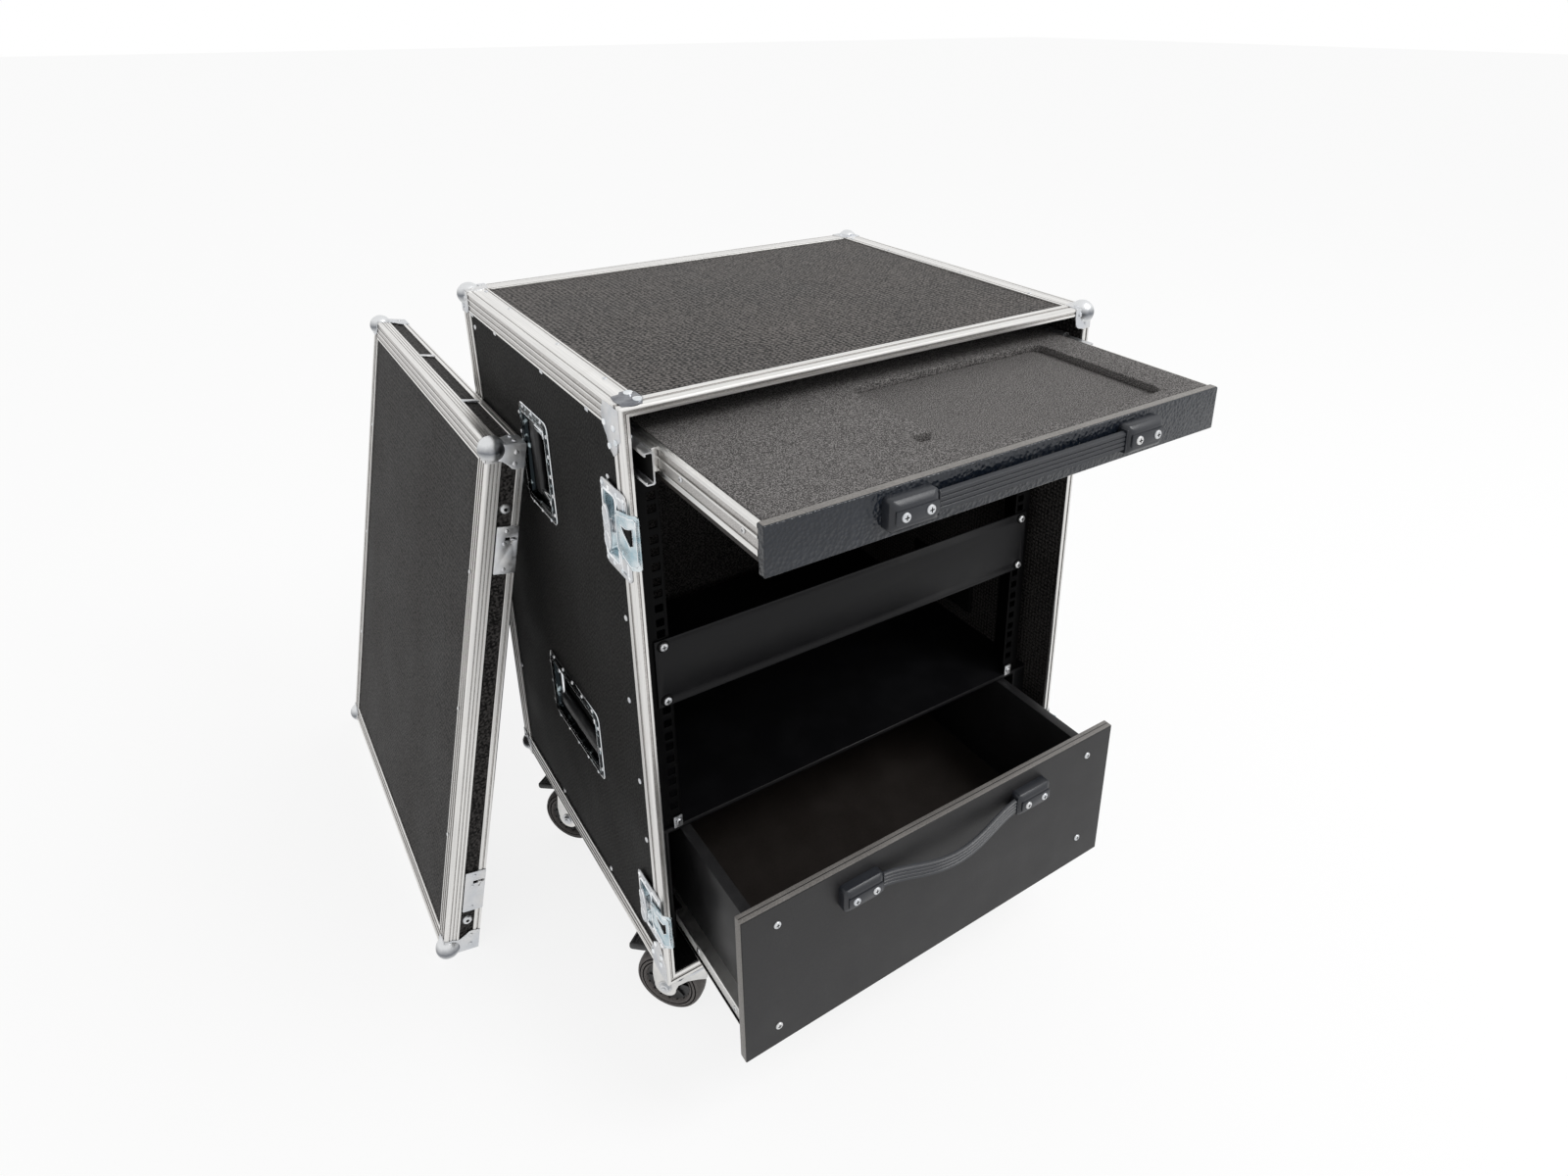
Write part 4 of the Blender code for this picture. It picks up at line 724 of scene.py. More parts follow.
def dish(title):
    """A chromed dish: a flange with a raised ring and rivets, round a deep tray. The flange's chrome
    carries painted dark reflections, and the tray's walls and floor are black.
    """
    at, size = HANDLES[title]
    shape = Shape()
    round_off = lambda inset: max(DISH_ROUND - inset, 0.8)
    line = [(0, 1.6, 0), (0, 0.4, 0), (0.8, -0.2, 3), (3.6, -0.2, 3), (4.2, -1, 3), (5, -1.2, 3)]
    line += [(5.5, -1, 3), (6.4, -0.2, 3), (8.8, -0.2, 3), (9.4, -0.8, 0), (9.9, -0.9, 3), (11.4, -0.2, 3)]
    line += [(12.4, 1.2, 3), (13, 4, 1), (13.6, 9.8, 1), (14.6, DISH_FLOOR - 0.6, 1)]
    line.append((17, DISH_FLOOR - 0.2, 1))
    levels = [(inset, x) for inset, x, _ in line]
    shape.stack("X", at, size, levels, round_off, bands=[band for _, _, band in line])
    shape.stack("X", at, size, [levels[-1], (18, DISH_FLOOR)], round_off, index=1, caps=(False, True))
    few, many = (3, 5) if size[0] < size[1] else (5, 3)
    for count, i in ((few, 0), (many, 1)):
        for step in range(count):
            for side in (-1, 1):
                share = [side, side]
                share[i] = -1 + 2 * (step + 0.5) / count
                y, z = [at[n] + share[n] * (size[n] / 2 - 2.6) for n in (0, 1)]
                shape.rivet((-0.2, y, z), "X", -1, 2.2, 1.4, 2)
    return shape


def grip(title):
    """A rubber-covered bar on two arms, with a plated hinge rod."""
    shape = Shape()
    upright = title == "upper"
    at, (width, height) = HANDLES[title]
    along, across = (height, width) if upright else (width, height)
    half = (along - 32.4) / 2
    near = 4.5 - (across - 26.4) / 2
    far, hinge = near + across - 35.4, near + 2.2

    def flat(a, b):
        """Along the hinge and across it, as the side's own Y and Z."""
        return (at[0] + b, at[1] + a) if upright else (at[0] + a, at[1] - b)

    for sign in (-1, 1):
        low, high = flat(sign * half, near + 1), flat(sign * (half - 8), far - 6)
        shape.box((3.2, *low), (9.5, *high), 2.4, 3, 1)
        knob = [(0, 1), (2.6, 1.2), (3.8, 2.2), (4.2, 3.6), (4.2, 9.5)]
        shape.lathe(knob, (0, *flat(sign * (half - 3.5), hinge)), "X", 22, 1)
    rings = []
    count = 28
    for step in range(count + 1):
        puff = 0.82 + 0.18 * sin(min(1.0, min(step, count - step) / 2.5) * pi / 2)
        wave = 0.6 * cos(step / count * 8 * pi) if 2 < step < count - 2 else 0
        ring = []
        for t in turns(20):
            c, s = [abs(v) ** 0.65 * (1 if v > 0 else -1) for v in (cos(t), sin(t))]
            b = far - 10 + (9.8 + wave) * c * puff
            ring.append((6.5 + 4.4 * s * puff, *flat(-half + 2 * half * step / count, b)))
        rings.append(ring)
    shape.loft(rings, 0)
    rod = [(2.1, -half - 2.5), (2.1, half + 2.5)]
    shape.lathe(rod, (6.5, *flat(0, hinge)), "Z" if upright else "Y", 16, 1)
    return shape


def latch_plate(title):
    """The latch's face with its pressed ring and tray, and its rivets."""
    z, height = LATCHES[title]
    shape = Shape()
    at, tray = (LATCH_Y, z), (27.5, height - 20)
    shape.plate([rounded(54, height, 6, 5, (27, z)), rounded(*tray, 4, 4, at)], "X", -0.2, -1.7, 0.4)
    ring = [(-1.8, -1.5), (-1.4, -2.3), (-0.6, -2.7), (0.2, -2.4), (0.6, -1.5)]
    shape.stack("X", at, tray, ring, lambda inset: 4 - inset, index=2)
    well = [(-0.6, -1.5), (0.6, 0), (1.2, 6), (2.2, 7.2)]
    shape.stack("X", at, tray, well, 4, index=1, caps=(False, True))
    bead = [(0, -1.6), (0.3, -2.3), (1.2, -2.4), (1.5, -1.6)]
    shape.stack("X", (11.5, z), (15.5, height * 0.86), bead, 3, 4, 2)
    half = height / 2 - 5.5
    for y, up in ((4, 1), (4, -1), (50, 1), (50, -1), (50, 0), (19, -1), (36, -1), (19, 1), (36, 1)):
        shape.rivet((-1.7, y, z + up * half), "X", -1, 2.4, 1.1, 2)
    shape.lathe([(6.8, 7), (6.8, -0.5), (5.8, -1.6), (0, -1.6)], (0, *at), "X", 26)
    return shape


def wing(title):
    """The butterfly: an oval plate with a raised middle bar and finger pulls."""
    z, _ = LATCHES[title]
    shape = Shape()
    outline = []
    for t in turns(40):
        rise = 23 * abs(sin(t)) ** 0.8 * (1 if sin(t) > 0 else -1)
        outline.append((LATCH_Y + 7.5 * cos(t), z + rise))
    shape.plate([outline], "X", -4.7, -6.2, 0.5)
    for sign in (-1, 1):
        middle = z + sign * 12.5
        ring = turns(28)
        route = [(-6.4, LATCH_Y + 5.8 * cos(t), middle + 8.6 * sin(t)) for t in ring + ring[:2]]
        shape.wire(route, 1)
        lobe = []
        for grow, x in ((1, -6), (0.92, -6.8), (0.7, -6.9), (0.55, -6.3)):
            y, up = 5.2 * grow, 7.8 * grow
            lobe.append([(x, LATCH_Y + y * cos(t), middle + up * sin(t)) for t in turns(24)])
        shape.loft(lobe, 0, (False, True))
    shape.box((-6.8, LATCH_Y - 6.5, z - 2.2), (-5, LATCH_Y + 6.5, z + 2.2), 0.8)
    shape.lathe([(4, 6.8), (4, -6), (3.4, -6.9), (0, -7.1)], (0, LATCH_Y, z), "X", 20)
    return shape


def hook(title):
    """The hook plate: a rounded fork with a window, wires round both and a front bent forwards."""
    z, height = LATCHES[title]
    z += 4
    half = height * 0.31
    shape = Shape()
    front, back = -18, 20
    edge = [(front, half - 2), (front + 2, half), (front + 10, half), (back - 4, half * 0.78)]
    edge.append((back, half * 0.68))
    outline = [(y, -v) for y, v in edge] + edge[::-1]
    window = [(-12, 14), (-12, -2), (-9, -3.6), (3, 4), (8, 10.4), (-2, 10.8)]
    window = [(y, v * half / 26.4) for y, v in window]
    hole = [(y, z + v) for y, v in window]
    shape.plate([[(y, z + v) for y, v in outline], hole], "X", -2.9, -4.1, 0.4)
    # The window is filled with a sheet of the shadow black: painted shade.
    shape.plate([hole], "X", -2.9, -3.3, index=1)
    for wire in ([(y * 0.86 + 0.4, v * 0.86) for y, v in outline], window):
        shape.wire([(-4.2, y, z + v) for y, v in wire + wire[:2]], 2)
    lip = [(-4.1, front), (-4.1, front + 3), (-2.8, front + 3), (-1.8, front + 1.6)]
    lip += [(-1.8, front - 0.2), (-2.8, front - 0.4)]
    shape.prism(lip, "Z", z - half + 2, z + half - 2)
    rib = [(-4, 7), (-4.5, 7.8), (-4.5, 9.4), (-4, 10.2)]
    for side in (-1, 1):
        shape.prism(rib, "Z", z + side * half * 0.55, z + side * half * 0.86)
    shape.bend(HOOK_BEND, HOOK_TURN)
    return shape


def side_rivets():
    """Domed rivets along the profiles on the side."""
    shape = Shape()
    places = [(24, 613), (43, 576), (30, 440), (41, 342), (33, 250), (29, 178)]
    places += [(420, 614), (426, 455), (424, 300), (426, 150), (150, 34), (300, 34)]
    for y, z in places:
        shape.rivet((SKIN, y, z), "X", -1, 3, 1.3)
    return shape


def fittings():
    """The fittings of both sides; the right ones are mirrored."""
    for side in ("left", "right"):
        for title in ("upper", "lower"):
            end = f"{title}_{side}"
            for name, form, body, finishes, slot, node, smooth in (
                ("dish", dish, "case", [CHROME, DARK, ZINC, MIRROR], "bright_zinc", "handle_dish", 50),
                ("grip_bar", grip, f"grip_{end}", [BLACK, CHROME], "black_plastic", "handle_grip", 50),
                ("latch_face", latch_plate, "case", [ZINC, TEAL, CHROME], "bright_zinc", "latch_plate", 38),
                ("butterfly", wing, f"wing_{end}", [ZINC, CHROME], "bright_zinc", "latch_wing", 38),
                ("hook_plate", hook, f"hook_{end}", [TEAL, DARK, CHROME], "bright_zinc", "latch_hook", 38),
            ):
                shape = sided(form(title), side)
                piece(f"{name}_{end}", shape, CASE, body, finishes, [f"{node}_{end}"], smooth)
        piece(f"side_rivets_{side}", sided(side_rivets(), side), CASE, "case", ZINC)


# Castors, in their own frame: X along the trail, Z up from the underside of the case


def castor_mount(x, y):
    """The plate under the case with its four bolts and the seat of the swivel."""
    shape = Shape()
    shape.plate([rounded(66, 76, 8, 5, (x, y))], "Z", -3.3, -0.3, 0.6)
    for u in (x - 23.5, x + 23.5):
        for v in (y - 29, y + 29):
            shape.lathe([(5.8, -3.1), (5.8, -4), (5.2, -4.3), (0, -4.3)], (u, v, 0), "Z", 22)
            shape.hexagon((u, v, -4.3), "Z", -1, 8.5, 4.2)
    shape.lathe([(22.5, -3.1), (23.5, -3.6), (21.5, -4.4), (0, -4.4)], (x, y, 0), "Z", 36)
    shape.lathe([(5.5, -4), (5.5, -14)], (x, y, 0), "Z", 16)
    return shape


def fork():
    """The swivel's two races, the crown and two arms with a pressed panel and an axle nut."""
    shape = Shape()
    race = [(18, -4.6), (22.5, -5), (24, -6.6), (23.6, -8.4), (21.2, -9.6)]
    race += [(21.2, -10.2), (23.8, -10.8), (24.5, -12.4), (23.6, -14.3), (20, -15)]
    shape.lathe(race, (0, 0, 0), "Z", 40)
    shape.lathe([(7.8, -15), (7.8, -18), (6, -19.6), (0, -19.8)], (0, 0, 0), "Z", 20, 1)
    bow = [pi / 2 + step * pi / 8 for step in range(9)]
    crown = [(38.5, -16.8), (38.5, 16.8)] + [(-2 + 18.5 * cos(t), 16.8 * sin(t)) for t in bow]
    shape.plate([crown], "Z", -17.6, -14.6, 0.7)
    eye = [radians(10 - step * 19) for step in range(11)]
    arm = [(-18.5, -15), (38.5, -15), (44, -22.5), (48, -36), (50, -56), (49, -68)]
    arm += [(AXLE_X + 13.5 * cos(t), AXLE_Z + 13.5 * sin(t)) for t in eye]
    arm += [(18, -64), (6, -52), (-8, -43), (-17, -38.5), (-18.5, -36)]
    panel = [(12, -22.5), (30, -22.5), (34.5, -30), (35.5, -37), (30, -40), (21, -35), (11, -27.5)]
    for sign in (-1, 1):
        shape.plate([arm], "Y", sign * 14.5, sign * 17, 0.7)
        shape.plate([panel], "Y", sign * 16.5, sign * 17.6, 0.5)
        washer = [(8, -0.3 * sign), (8, 0.9 * sign), (0, 0.9 * sign)]
        shape.lathe(washer, (AXLE_X, sign * 17, AXLE_Z), "Y", 26, 1)
        shape.hexagon((AXLE_X, sign * 17.9, AXLE_Z), "Y", sign, 10.5, 3, 1)
    shape.lathe([(4, -16.5), (4, 16.5)], (AXLE_X, 0, AXLE_Z), "Y", 14, 1)
    return shape


def wheel():
    """A tyre with grooved side walls on a black centre; the grooves are drawn in the shadow black, painted
    shade.
    """
    shape = Shape()
    tyre = [(26.2, 8.8, 0), (27.4, 10.8, 0), (28.6, 12, 0), (30, 12.4, 2), (30.3, 11.2, 2), (31.2, 11.2, 2)]
    tyre += [(31.5, 12.3, 0), (34.2, 12.1, 2), (34.5, 10.8, 2), (35.2, 10.8, 2), (35.5, 11.6, 0)]
    tyre += [(37.8, 10.6, 0), (39.2, 7.8, 0), (39.9, 4, 0), (40, 0, 0)]
    kinds = [kind for _, _, kind in tyre[:-1]]
    whole = [(r, y) for r, y, _ in tyre]
    whole += [(r, -y) for r, y in reversed(whole[:-1])]
    shape.lathe(whole, (AXLE_X, 0, AXLE_Z), "Y", 64, 0, (False, False), kinds + kinds[::-1])
    disc = [(26.2, 8.8), (24.6, 7.8), (20, 7), (15, 7.2), (13.6, 11), (13, 13.2), (11, 13.8), (6, 13.8)]
    for sign in (1, -1):
        face = [(r, y * sign) for r, y in disc]
        shape.lathe(face, (AXLE_X, 0, AXLE_Z), "Y", 48, 1, (False, True))
        hub = Matrix.Translation(Vector((AXLE_X, sign * 7.6, AXLE_Z)) * MM)
        for t in turns(8):
            spoke = hub @ Matrix.Rotation(t, 4, "Y") @ Matrix.Translation((19.8 * MM, 0, 0))
            shape.box((-5, -1.5, -1.1), (5, 1.5, 1.1), index=1, place=spoke)
    return shape


def pedal():
    """A moulded foot pedal on its barrel."""
    shape = Shape()
    x, z = 34, -22.5
    line = [(0, 4), (10, 3.6), (24, -0.4), (36, -2.4), (44, -4), (46.6, -6.2), (47, -10), (46.2, -12.8)]
    line += [(43, -13.4), (30, -10.4), (18, -7.4), (0, -4)]
    shape.plate([[(x + u, z + v) for u, v in line]], "Y", -11.8, 11.8, 1.2)
    for step in range(5):
        u = 23 + step * 4.8
        top = z - 0.2 - (u - 24) * 0.18
        shape.box((x + u, -9, top - 0.6), (x + u + 1.8, 9, top + 0.8), 0.5, 1)
    shape.lathe([(3.2, -14.1), (4, -13.5), (4, 13.5), (3.2, 14.1)], (x, 0, z), "Y", 20)
    return shape


def castors():
    """Four castors; those on the left have a brake pedal."""
    for name, (x, y, trails, brake) in CASTORS.items():
        place = case_place(x, y) @ Matrix.Rotation(radians(trails), 4, "Z")
        mount = castor_mount(x, y)
        piece(f"castor_mount_{name}", mount, CASE, "case", ZINC, [f"castor_plate_{name}"])
        for start, form, finishes, slot, node in (
            ("fork", fork, [SATIN, ZINC], "bright_zinc", "castor_fork"),
            ("wheel", wheel, [TYRE, BLACK, DARK], "grey_tyre", "castor_wheel"),
            ("pedal", pedal, BLACK, "black_plastic", "brake_pedal"),
        )[:3 if brake else 2]:
            title = f"{start}_{name}"
            piece(title, form(), place, title, finishes, [f"{node}_{name}"])


fittings()
castors()


# Strap handles


def strap(body, place, span, x, z, bow, sag):
    """Two screwed caps and a ribbed band between them, which may bow outwards and sag."""
    shape = Shape()
    face = -0.3
    cap = [(0, 0), (0, -8.5), (0.6, -9.8), (4.2, -12.8), (5.2, -13.2)]
    for sign in (-1, 1):
        cx = x + sign * span / 2
        levels = [(inset, face + y) for inset, y in cap]
        shape.stack("Y", (cx, z), (47, 27), levels, 4, caps=(True, True))
        shape.box((cx - 20.5, face - 14.7, z - 5.8), (cx + 20.5, face - 12, z + 5.8), 1.2)
        for side in (-1, 1):
            shape.screw((cx + side * 11.8, face - 14.6, z), "Y", -1, 4.2, 1.6, 1, 2)
        mouth = cx - sign * 23.5
        shape.box((mouth - 0.8, face - 11, z - 10.8), (mouth + 0.8, face - 3, z + 10.8), 0.6, 1)
    half = span / 2 - 19.5
    count = 36 if bow else 2
    route = []
    for step in range(count + 1):
        a = -half + 2 * half * step / count
        k = (1 - (a / half) ** 2) ** 2
        route.append((x + a, face - 7.5 - bow * k, z - sag * k))
    thick, high, ribs = 2.1, 8.4, 4
    section = []
    for rib in range(ribs):
        top, low = [high - (rib + n) * 2 * high / ribs for n in (0, 1)]
        section += [(thick - 1.1, top), (thick, top - 0.8), (thick, low + 0.8), (thick - 1.1, low + 0.1)]
    section += [(0.5 - thick, -high - 0.6), (-thick, -high), (-thick, high), (0.5 - thick, high + 0.6)]
    shape.sweep(route, section, (0, 0, 1))
    finishes, node = [RUBBER, ZINC, DARK], f"{body}_strap_handle"
    piece(f"{body}_strap", shape, place, body, finishes, [node], 34)


# Shelf


def shelf():
    """The carriage: foam, front board, side profiles with the slides' inner bars, and the strap."""
    half = SHELF_HALF - 4.3
    start, end = 9.3, 394
    recess = rounded(243, 166, 12, 8, (77, 106))
    notch = [(-44.5, 67), (-66.5, 67), (-66.5, 53), (-44.5, 53)]
    hole = recess[:18] + notch + recess[18:]
    foam = Shape()
    foam.plate([box_loop((-half, start), (half, end)), hole], "Z", 34, 42, 1, steps=2)
    foam.box((-half, start, 29.3), (half, end, 34.1), 0.3, 1)
    piece("foam_top", foam, SHELF, "shelf", [FOAM], ["shelf_foam"])

    front = Shape()
    front.box((-SHELF_HALF, 0, 0), (SHELF_HALF, 9, 41.6), 1.2, 3)
    front.box((-SHELF_HALF + 0.6, 1.2, 40.5), (SHELF_HALF - 0.6, 8.6, 42), 0.6, 2, 1)
    finishes = [GRAINED, EDGE]
    piece("shelf_front_board", front, SHELF, "shelf", finishes, ["shelf_front"])

    sides = Shape()
    back = 404.3
    low, high = 13.5, 40.8
    line = plain((0, low + 0.6), (0.6, low), (4, low), (4, high), (0.6, high), (0, high - 0.6))
    line += groove((0, high - 4), (1.2, high - 4.6), (1.2, high - 10), (0, high - 10.6))
    line += groove((0, high - 12.6), (0.8, high - 13), (0.8, low + 6.2), (0, low + 5.6))
    for sign in (-1, 1):
        face = sign * SHELF_HALF
        sides.prism([(face - sign * a, b, kind) for a, b, kind in line], "Y", start, back)
        z = (low + high) / 2
        bar = face + sign * 4.6
        sides.box((bar, 172, z - 11), (face - sign, back, z + 11), 1, 2, 1)
        for y in (200, 290, 380):
            sides.screw((bar, y, z), "X", sign, 3.4, 0.3, 2, 3)
        for y in (30, 130):
            sides.screw((face - sign * 0.4, y, z - 1.6), "X", sign, 2.6, 1, 2, 3)
    sides.box((-SHELF_HALF + 2, 394.3, low), (SHELF_HALF - 2, back, high), 0.8)
    finishes = [ALU_Y, SATIN, ZINC, DARK, BALLS, BANDED, GROOVE]
    piece("shelf_profiles", sides, SHELF, "shelf", finishes, ["shelf_frame"])
    strap("shelf", SHELF, 256.5, 6, 22.5, 0, 0)


def slides():
    """The slides' outer and middle members: rolled channels with ball cages."""
    z, lip, t = 603, 8.5, 1.4
    for side in ("left", "right"):
        for kind, web, height, start, length, body in (
            ("outer", 9.1, 34, 20, 385, "case"),
            ("middle", 11.2, 29.8, -17, 260, f"shelf_slide_{side}_middle"),
        ):
            shape = Shape()
            middle = kind == "middle"
            h, rim, end = height / 2, web + lip, start + length
            loop = [(web, -h + 1.2), (web + 0.8, -h + 0.3), (web + 2, -h), (rim - 1.2, -h), (rim, -h + 0.8)]
            loop += [(rim, -h + 3.4), (rim - t, -h + 3.4), (rim - t, -h + t), (web + 2.4, -h + t)]
            loop += [(web + t, -h + 2.6)]
            loop += [(x, -v) for x, v in reversed(loop)]
            if middle:
                loop = [(web + rim - x, v) for x, v in loop]
            shape.prism([(x, z + v) for x, v in loop], "Y", start, end)
            inner = rim - t - 0.7 if middle else web + t
            for share in (0.12, 0.5, 0.88):
                shape.lathe([(3, 0), (3, 0.7), (0, 0.7)], (inner, start + length * share, z), "X", 16, 1)
            # A thin sheet of the shadow black along the inside of the channel: painted shade.
            back = rim - t if middle else web + t
            low, high = (back - 0.2, start + 0.6, z - h + 1.6), (back + 0.2, end - 0.6, z + h - 1.6)
            shape.box(low, high, index=1)
            title = f"{kind}_{side}"
            node = [f"shelf_slide_{title}"]
            piece(f"slide_{title}", sided(shape, side), CASE, body, [ZINC, DARK], node)


# Rack


def rails():
    """The rack rails: a flange with square holes on a folded web."""
    for side in ("left", "right"):
        shape = Shape()
        low, high = 168, 575
        holes = []
        z = PANEL_LOW + 6.3 - UNIT * 3
        step = 0
        while z < high - 10:
            if z > low + 8:
                holes.append(rounded(8.4, 8.4, 0.8, 2, (38.95, z)))
            z += (15.88, 15.88, 12.7)[step % 3]
            step += 1
        shape.plate([box_loop((24.3, low), (46.5, high))] + holes, "Y", 41.7, 43.7, 0.3)
        web = [(23.9, 42), (24.5, 41.7), (25.9, 43.2), (25.9, 74.7), (11.1, 74.7), (11.1, 94.7)]
        web += [(9.1, 94.7), (9.1, 72.7), (23.9, 72.7)]
        shape.prism(web, "Z", low, high)
        for z in (205, 372, 540):
            shape.screw((11.1, 85, z), "X", 1, 4.2, 1.8, 1, 2)
        finishes = [RAIL, COAT, DARK]
        title, node = f"rail_{side}", f"rack_rail_{side}"
        piece(title, sided(shape, side), CASE, "case", finishes, [node])


def blank_panel():
    panel = Shape()
    half, z0, z1 = 241.3, PANEL_LOW, 396.1
    places = [(x, z) for x in (MID - half + 8.8, MID + half - 8.8) for z in (z0 + 7, z1 - 7)]
    outline = rounded(2 * half, z1 - z0, 0.8, 2, (MID, (z0 + z1) / 2))
    slots = [rounded(10, 6.6, 3.2, 4, place) for place in places]
    panel.plate([outline] + slots, "Y", 39.4, 41.4, 0.4)
    for x, z in places:
        panel.lathe([(6.2, 0), (6.2, -0.8), (5.8, -1), (0, -1)], (x, 39.4, z), "Y", 24, 2)
        panel.screw((x, 38.4, z), "Y", -1, 4.6, 2.2, 1, 2)
    finishes = [COAT, ZINC, DARK]
    piece("blank_panel", panel, CASE, "case", finishes, ["rack_blank_panel"])


def divider_trim():
    """The strip under the divider, its two screwed tabs and a thin strip down each side."""
    bits = Shape()
    bits.box((9.1, 38.8, 164), (W - 9.1, 40, 167.9), 0.4, 1)
    for x in (41, W - 41):
        bits.box((x - 5, 37.8, 166), (x + 5, 40, 180), 0.8, 2, 1)
        bits.screw((x, 37.8, 173.5), "Y", -1, 3.4, 1.6, 1, 2)
    for x, wide in ((26.2, 3), (W - 26.2, -3)):
        bits.box((x, 39.2, 14.5), (x + wide, 40, 164), 0.3, 1)
    piece("divider_trim", bits, CASE, "case", [BOARD, ZINC, DARK])


# Drawer


def drawer():
    """The drawer's face, its tray with the runners, and the strap."""
    front = Shape()
    front.box((-DRAWER_HALF, 0, 0), (DRAWER_HALF, 11, DRAWER_H), 0.9)
    for face in front.mesh.faces:
        if abs(face.normal.y) < 0.5:
            face.material_index = 1
    wide = DRAWER_HALF - 0.7
    front.box((-wide, -0.3, 0.7), (wide, 0.6, DRAWER_H - 0.7), 0.3, 1)
    front.box((-DRAWER_HALF + 1, 5.2, DRAWER_H - 0.6), (DRAWER_HALF - 1, 6, DRAWER_H + 0.2))
    for x, z in ((65.1, 160.4), (64.3, 25.4), (478.7, 159.4), (478.7, 36.6)):
        front.screw((x - MID, -0.3, z), "Y", -1, 4, 1.7, 2, 3)
    finishes = [BOARD, EDGE, ZINC, DARK]
    piece("drawer_face", front, DRAWER, "drawer", finishes, ["drawer_front"])
    tray = Shape()
    half, low, high = 228, 14.5, 159
    start, end = 11.3, 371.3
    # The runner's face meets its lips in thin lines of the shadow black: painted shade in the creases.
    rail = [(228, 28, 1), (240, 28, 1), (240.5, 28.8, 1), (240.5, 30, 3), (238.5, 30.8, 5), (238.5, 45, 3)]
    rail += [(237, 46.2, 3), (240.5, 47.8, 1), (240.5, 49.2, 1), (240, 50, 1), (228, 50, 1)]
    for sign in (-1, 1):
        tray.box((sign * half, start, low), (sign * (half - 12), end, high), 0.8)
        tray.prism([(sign * x, z, kind) for x, z, kind in rail], "Y", start + 0.5, end, 1)
        for y in (30, 110, 230, 330):
            tray.screw((sign * 238.5, y, 38), "X", sign, 3.4, 1.2, 2, 3)
    half -= 11.8
    tray.box((-half, start, low), (half, start + 12, high), 0.8)
    tray.box((-half, end - 12, low), (half, end, high), 0.8)
    tray.box((-half, start + 11.8, low), (half, end - 11.8, low + 8), 0.2, 1, 4)
    finishes = [BOARD, SATIN, ZINC, DARK, BROWN, RUNNER]
    piece("drawer_tray", tray, DRAWER, "drawer", finishes, ["drawer_box"])
    strap("drawer", DRAWER, 227.5, 0, 153, 10.5, 13)


# Lid, in its own frame: X through its thickness, Y along its foot, Z up its face


def lid():
    """The lid's profiles, mitred at the corners, with balls, braces, keepers, pads and rivets."""
    shape = Shape()
    flange, side, t = 24, 17, LID_T
    outer = plain((side, 0.4), (side - 0.4, 0))
    for at in (side - 3, side - 7, 6.2):
        outer += groove((at, 0), (at - 0.3, 0.4), (at - 1.1, 0.4), (at - 1.4, 0))
    outer += plain((2.6, 0), (1, 0.4), (0.3, 1.2))
    outer += [(x, s, kind) for s, x, kind in ridged(flange)]
    outer += plain((SHEET, flange), (SHEET, SHEET), (side, SHEET))
    rim = plain((t - RIM_FACE, 0.4), (t - RIM_FACE + 0.4, 0))
    rim += groove((t - 5.4, 0), (t - 5, 0.6), (t - 3.8, 0.6), (t - 3.4, 0))
    rim += plain((t - 1.2, 0), (t, 1.2)) + groove((t, 3.6), (t - 0.7, 4), (t - 0.7, 5.2), (t, 5.6))
    rim += plain((t, 8.4), (t - 0.6, RIM_FACE), (t - 2.8, RIM_FACE))
    rim += plain((t - 2.8, SHEET), (t - RIM_FACE, SHEET))
    for section in (outer, rim):
        for axis, across, along, finish in (("Z", W, H, 0), ("Y", H, W, 1)):
            for near in (True, False):
                inset = lambda x, s: (s if near else across - s)
                loop = [(x, inset(x, s), kind) for x, s, kind in section]
                shape.prism(loop, axis, inset, lambda x, s: along - inset(x, s), finish)
    for y, sy in ((0, -1), (W, 1)):
        for z, sz in ((0, -1), (H, 1)):
            at = (BALL_IN, y - sy * BALL_IN, z - sz * BALL_IN)
            ball_corner(shape, at, (-1, sy, sz), 2, (18, 21, 21), 14.2)
            corner_plates(shape, y, sy, z, sz)
    for y in (150, 345):
        for z, sz in ((0, -1), (H, 1)):
            shape.box((16, y - 3.5, z - sz), (t - 7.5, y + 3.5, z + sz), 0.4, 1, 2)
    for y, sy in ((0, -1), (W, 1)):
        for z, _ in LATCHES.values():
            keeper(shape, y, sy, z)
        for z in (580, 45):
            at = (25, y - sy * SKIN, z)
            cup = [(5.8, 0), (5.8, 1.4 * sy), (4.6, 3 * sy), (2, 3.4 * sy)]
            shape.lathe(cup, at, "Y", 28, 2, (False, False))
            # The cup's middle is the shadow black: painted shade in its hollow.
            shape.lathe([(2, 3.4 * sy), (1.6, sy), (0, sy)], at, "Y", 16, 4)
        for z in (160, 330, 500):
            shape.rivet((-0.2, y - sy * 21.5, z), "X", -1, 2.2, 0.9, 2)
    finishes = [ALU_Z, ALU_Y, ZINC, BALLS, DARK, BANDED, GROOVE]
    piece("lid_profiles", shape, LID, "lid", finishes, ["lid_frame"])


def corner_plates(shape, y, sy, z, sz):
    """The brace that covers the black strip at a corner of the lid."""
    edge = LID_T - 0.8
    line = [(13, 0), (edge, 0), (edge, 26.5), (31.5, 28), (28, 27.2), (24, 23.5), (18, 19.5), (13, 18)]
    for axis, a, sa, b, sb in (("Y", z, sz, y, sy), ("Z", y, sy, z, sz)):
        loop = [(x, a - sa * drop) for x, drop in line]
        shape.plate([loop], axis, b - sb * 0.3, b + sb * 0.9, 0.3, 2)
        for x, drop in ((LID_T - 11, 8.5), (LID_T - 11.5, 21.5)):
            shape.rivet(spot(axis, x, a - sa * drop, b + sb * 0.9), axis, sb, 2.6, 1.2, 2)


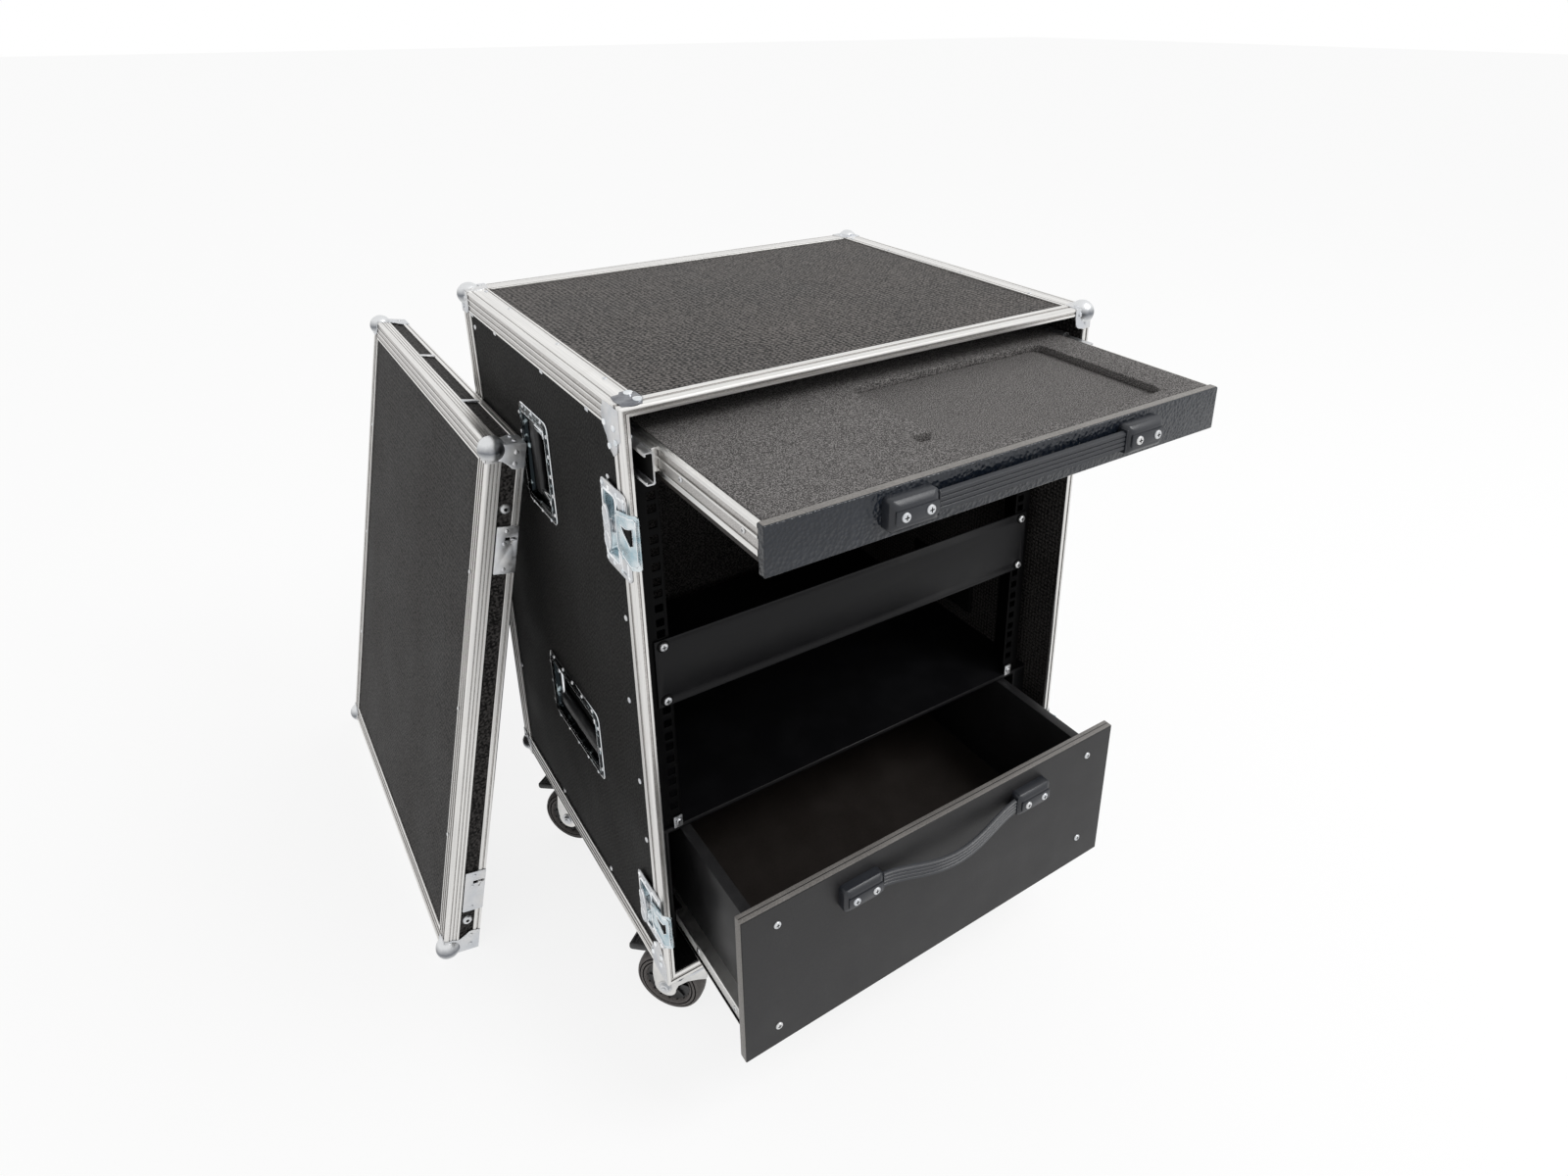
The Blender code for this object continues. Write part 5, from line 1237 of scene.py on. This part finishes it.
def keeper(shape, y, sy, z):
    """The catch plate: a slot for the hook, a small pin and three rivets."""
    outline = rounded(LID_T - 18.2, 56, 1.5, 3, (29.8, z))
    slot = [(27.5, 15), (40.4, 15), (40.4, 11.8), (37.2, 11), (35.2, 6), (33.8, 6.4), (33.8, 11.2)]
    slot = [(x, z + v) for x, v in slot + [(27.5, 11.2)]]
    shape.plate([outline, slot], "Y", y - sy * 0.9, y + sy * 1.2, 0.4, 2)
    # Behind the slot, a sheet of the shadow black: painted shade.
    shape.box((26.5, y - sy * 1.2, z + 5), (40, y - sy * 0.4, z + 16), index=4)
    shape.box((33, y - sy * 0.6, z + 11.5), (40, y + sy * 2.8, z + 13.5), 0.5, 1, 2)
    for x, v in ((28.5, 22.5), (28.5, -22.5), (26.8, 7.8)):
        shape.rivet((x, y + sy * 1.2, z + v), "Y", sy, 2.2, 1, 2)


shelf()
slides()
rails()
blank_panel()
divider_trim()
drawer()
lid()


# Camera, light and floor


def camera():
    """The photograph's camera, with its focal length in pixels across the frame's width."""
    focal, frame_width = 1021.0, 1600.0
    data = bpy.data.cameras.new("camera")
    data.sensor_width = 36.0
    data.lens = focal * data.sensor_width / frame_width
    data.shift_x, data.shift_y = -0.0284, -0.1006
    data.clip_start = 0.01
    made = link("camera", data)
    pan, tilt, roll = radians(-33.95), radians(67.11), radians(0.06)
    turn = Matrix.Rotation(pan, 4, "Z") @ Matrix.Rotation(tilt, 4, "X") @ Matrix.Rotation(roll, 4, "Z")
    made.matrix_world = Matrix.Translation(ORIGIN + Vector((-0.275, -0.708, 0.948))) @ turn
    bpy.context.scene.camera = made


def floor():
    """White paper that glows a little to the camera and in mirrors, so that shadows stay soft."""
    reach = 30
    mesh = bpy.data.meshes.new("floor")
    corners = [(x, y, 0) for x, y in box_loop((-reach, -reach), (reach, reach))]
    mesh.from_pydata(corners, [], [(0, 1, 2, 3)])
    made = link("floor", mesh)
    f = Finish("floor_paper")
    tone = f.mix(f.noise(3.0, 2.0), (0.95, 0.95, 0.95), (0.97, 0.97, 0.97))
    f.set(base_color=tone, roughness=0.9, specular_ior_level=0.0)
    glow = f.math("MULTIPLY", f.seen(), 0.84)
    light = f.node("ShaderNodeEmission", {"Strength": 1.0}).outputs[0]
    both = f.node("ShaderNodeMixShader", {0: glow, 1: f.shader.outputs[0], 2: light})
    f.give(f.tree.nodes["Material Output"].inputs[0], both.outputs[0])
    mesh.materials.append(f.material)


def world():
    """White to the camera and in mirrors; as a light, dimmer on the left than on the right."""
    made = bpy.data.worlds.new("studio")
    bpy.context.scene.world = made
    made.use_nodes = True
    made.node_tree.nodes.clear()
    g = Graph(made.node_tree)
    way = g.node("ShaderNodeTexCoord").outputs["Generated"]
    side = g.range(g.node("ShaderNodeSeparateXYZ", {0: way}).outputs[0], -0.8, 0.5, 0.64, 0.8)
    strength = g.math("MAXIMUM", side, g.seen())
    shader = g.node("ShaderNodeBackground", {"Color": (1.0, 1.0, 1.0), "Strength": strength})
    g.node("ShaderNodeOutputWorld", {0: shader.outputs[0]})


def lamp(name, at, target, size, power):
    data = bpy.data.lights.new(name, "AREA")
    data.shape, data.size, data.energy = "DISK", size, power
    made = link(name, data)
    made.location = at
    made.rotation_euler = (Vector(target) - Vector(at)).to_track_quat("-Z", "Y").to_euler()


camera()
floor()
world()
lamp("key", (1.6, -2.2, 3.2), (0.0, 0.0, 0.4), 1.6, 60.0)
bpy.context.scene.view_settings.view_transform = "Standard"
